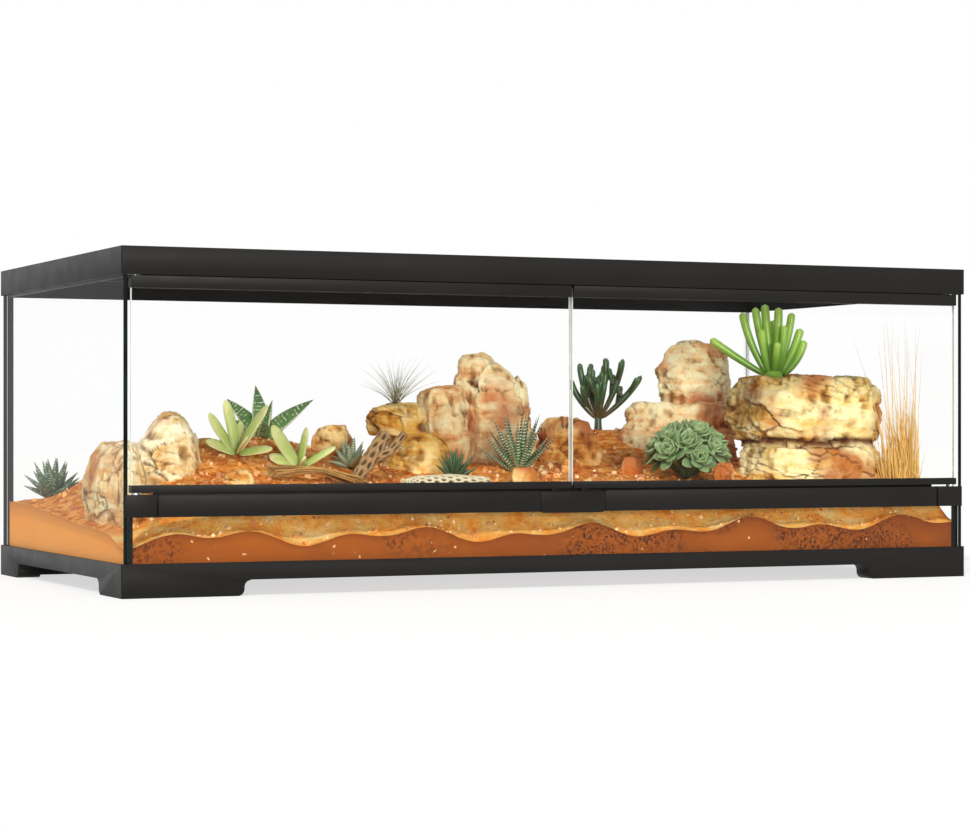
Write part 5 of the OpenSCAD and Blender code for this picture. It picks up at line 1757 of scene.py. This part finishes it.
@dataclass
class Glazing:
    """Panes with ground edges, and the silicone beads."""

    clear: bpy.types.Material
    edges: dict[EdgeKind, bpy.types.Material]
    chamfer: float = 0.35

    def build(self) -> None:
        """Makes the fixed panes, the doors' panes and the beads."""
        for node in ("floor_glass", "left_glass", "right_glass", "back_glass", "front_glass"):
            self.pane(node, "tank", EdgeKind.DEEP)
        for door in ("left_door", "right_door"):
            self.pane(f"{door}_glass", door, EdgeKind.LIT)
        bead = Silicone().make()
        dress("corner_seals", CornerBead().make())
        dress("floor_seal", bead)
        dress("screen_retainer", bead)

    def pane(self, node: str, body: str, kind: EdgeKind) -> None:
        """Makes a pane with chamfered edges: an inner rectangle on each face, and a rim.

        Args:
            node: the CAD node.
            body: its body.
            kind: how its edges look.
        """
        low, high = (np.array(v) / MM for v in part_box(node))
        thin = int(np.argmin(high - low))
        flat = [i for i in range(3) if i != thin]
        centre, half = (low + high) / 2, (high - low) / 2

        def loop(inset: float, depth: float) -> Array:
            """Corners of a rectangle in the pane.

            Args:
                inset: how far it is drawn in from the pane's sides.
                depth: its distance from the middle of the thickness.

            Returns:
                The four corners.
            """
            points = np.tile(centre, (4, 1))
            points[:, flat] += SQUARE * (half[flat] - inset)
            points[:, thin] += depth
            return points

        t, k = half[thin], self.chamfer
        clay = Clay()
        rim = np.stack([loop(k, -t), loop(0, -t + k), loop(0, t - k), loop(k, t)])
        clay.grid(rim, np.zeros(3), finish=1)
        for inner in (rim[0], rim[-1]):
            clay.grid(np.stack([inner, np.tile(inner.mean(0), (4, 1))]), np.zeros(3))
        finishes = [self.clear, self.edges[kind]]
        piece = clay.piece(f"{node}_pane", finishes, "clear_glass", [node], body)
        piece.data.shade_flat()


@dataclass
class Screen:
    """Fine woven screen of the lid: two layers of straight wires.

    The second layer lies higher than the first by the lift, a share of the wire's width.
    """

    pitch: float = 3.2
    wire: float = 0.5
    lift: float = 0.2

    def build(self) -> None:
        """Makes the wires: square bars along x and y, one layer on the other."""
        low, high = (np.array(v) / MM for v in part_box("screen_mesh"))
        section = SQUARE * self.wire / 2
        clay = Clay()
        for axis, across in ((0, 1), (1, 0)):
            count = int((high[across] - low[across]) / self.pitch)
            for line in np.linspace(low[across] + self.wire, high[across] - self.wire, count):
                ends = np.zeros((4, 4, 3))
                ends[..., axis] = np.array([low[axis], low[axis], high[axis], high[axis]])[:, None]
                ends[..., across] = line
                ends[..., 2] = low[2] + self.wire / 2 + axis * self.wire * self.lift
                ends[1:3, :, across] += section[:, 0]
                ends[1:3, :, 2] += section[:, 1]
                clay.grid(ends, np.zeros(3))
        wire = CoatedWire().make()
        piece = clay.piece("woven_screen", [wire], "mesh_steel", ["screen_mesh"], "lid")
        piece.data.shade_flat()


# ------------------------------------------------------------------------------ studio


@dataclass(frozen=True)
class Studio:
    """Camera at the photograph's angle, soft lamps and a pale floor.

    A lamp is its name, the degrees it is turned by, its strength and its spread in degrees.
    """

    place: tuple[float, float, float] = (-1.1509, -2.5692, 0.1565)
    yaw: float = -24.247
    lens: float = 98.862
    sensor: float = 36.0
    shift: float = 0.0110
    clip: tuple[float, float] = (0.05, 60.0)
    warm: tuple[float, float, float] = (1.0, 0.97, 0.92)
    lamps: tuple[tuple[str, tuple[float, ...], float, float], ...] = (
        ("key", (52, 0, -38), 1.8, 6),
        ("fill", (86, 0, -6), 2.3, 18),
    )
    sky_light: float = 0.48
    floor_half: float = 14.0
    floor_glow: float = 0.64

    def build(self) -> None:
        """Sets up the camera, the lamps, the world and the floor."""
        scene = bpy.context.scene
        camera = bpy.data.cameras.new("camera")
        camera.lens, camera.sensor_width, camera.shift_y = self.lens, self.sensor, self.shift
        camera.clip_start, camera.clip_end = self.clip
        seat = bpy.data.objects.new("camera", camera)
        seat.location = self.place
        seat.rotation_euler = (math.radians(90), 0, math.radians(self.yaw))
        scene.collection.objects.link(seat)
        scene.camera = seat
        scene.view_settings.view_transform = "Standard"
        for name, turn, strength, spread in self.lamps:
            lamp = bpy.data.lights.new(name, "SUN")
            lamp.energy, lamp.angle = strength, math.radians(spread)
            lamp.color = self.warm
            stand = bpy.data.objects.new(name, lamp)
            stand.rotation_euler = tuple(math.radians(v) for v in turn)
            scene.collection.objects.link(stand)
        self.sky(scene)
        self.floor(scene)

    def sky(self, scene: bpy.types.Scene) -> None:
        """White where it is seen, and a plain level where it lights.

        Args:
            scene: the scene whose world it becomes.
        """
        bench = Bench("studio", world=True)
        light, white = (
            bench.first("Background", {0: (1, 1, 1, 1), 1: strength})
            for strength in (self.sky_light, 1.0)
        )
        scene.world = bench.end(bench.blend(bench.seen(), light, white), "OutputWorld")

    def floor(self, scene: bpy.types.Scene) -> None:
        """Pale floor that looks white and keeps a soft shadow.

        Args:
            scene: the scene that it is linked to.
        """
        bench = Bench("pale_floor")
        matt, part = (bench.first("BsdfDiffuse", {0: (v, v, v, 1)}) for v in (0.8, 0.42))
        glow = bench.first("Emission", {0: (1, 1, 1, 1), 1: self.floor_glow})
        white = bench.first("AddShader", {0: part, 1: glow})
        mesh = bpy.data.meshes.new("floor")
        corners = np.pad(SQUARE * self.floor_half, ((0, 0), (0, 1)))
        mesh.from_pydata(corners.tolist(), [], [(0, 1, 2, 3)])
        mesh.materials.append(bench.end(bench.blend(bench.seen(), matt, white)))
        floor = bpy.data.objects.new("floor", mesh)
        scene.collection.objects.link(floor)


def main() -> None:
    logging.basicConfig(level=logging.INFO, format="%(name)s %(message)s")
    Studio().build()
    Casing(MouldedPlastic().make()).build()
    Glazing(ClearGlass().make(), {kind: GlassEdge(kind).make() for kind in EdgeKind}).build()
    Screen().build()
    steel = DrawnSteel().make()
    for node in ("latch_pin", "left_hinge_pins", "right_hinge_pins"):
        dress(node, steel)
    ground = Ground()
    ground.build()
    Stonework().build()
    planting = Planting(ground)
    planting.build()
    Deadwood(planting).build()


if __name__ == "__main__":
    main()
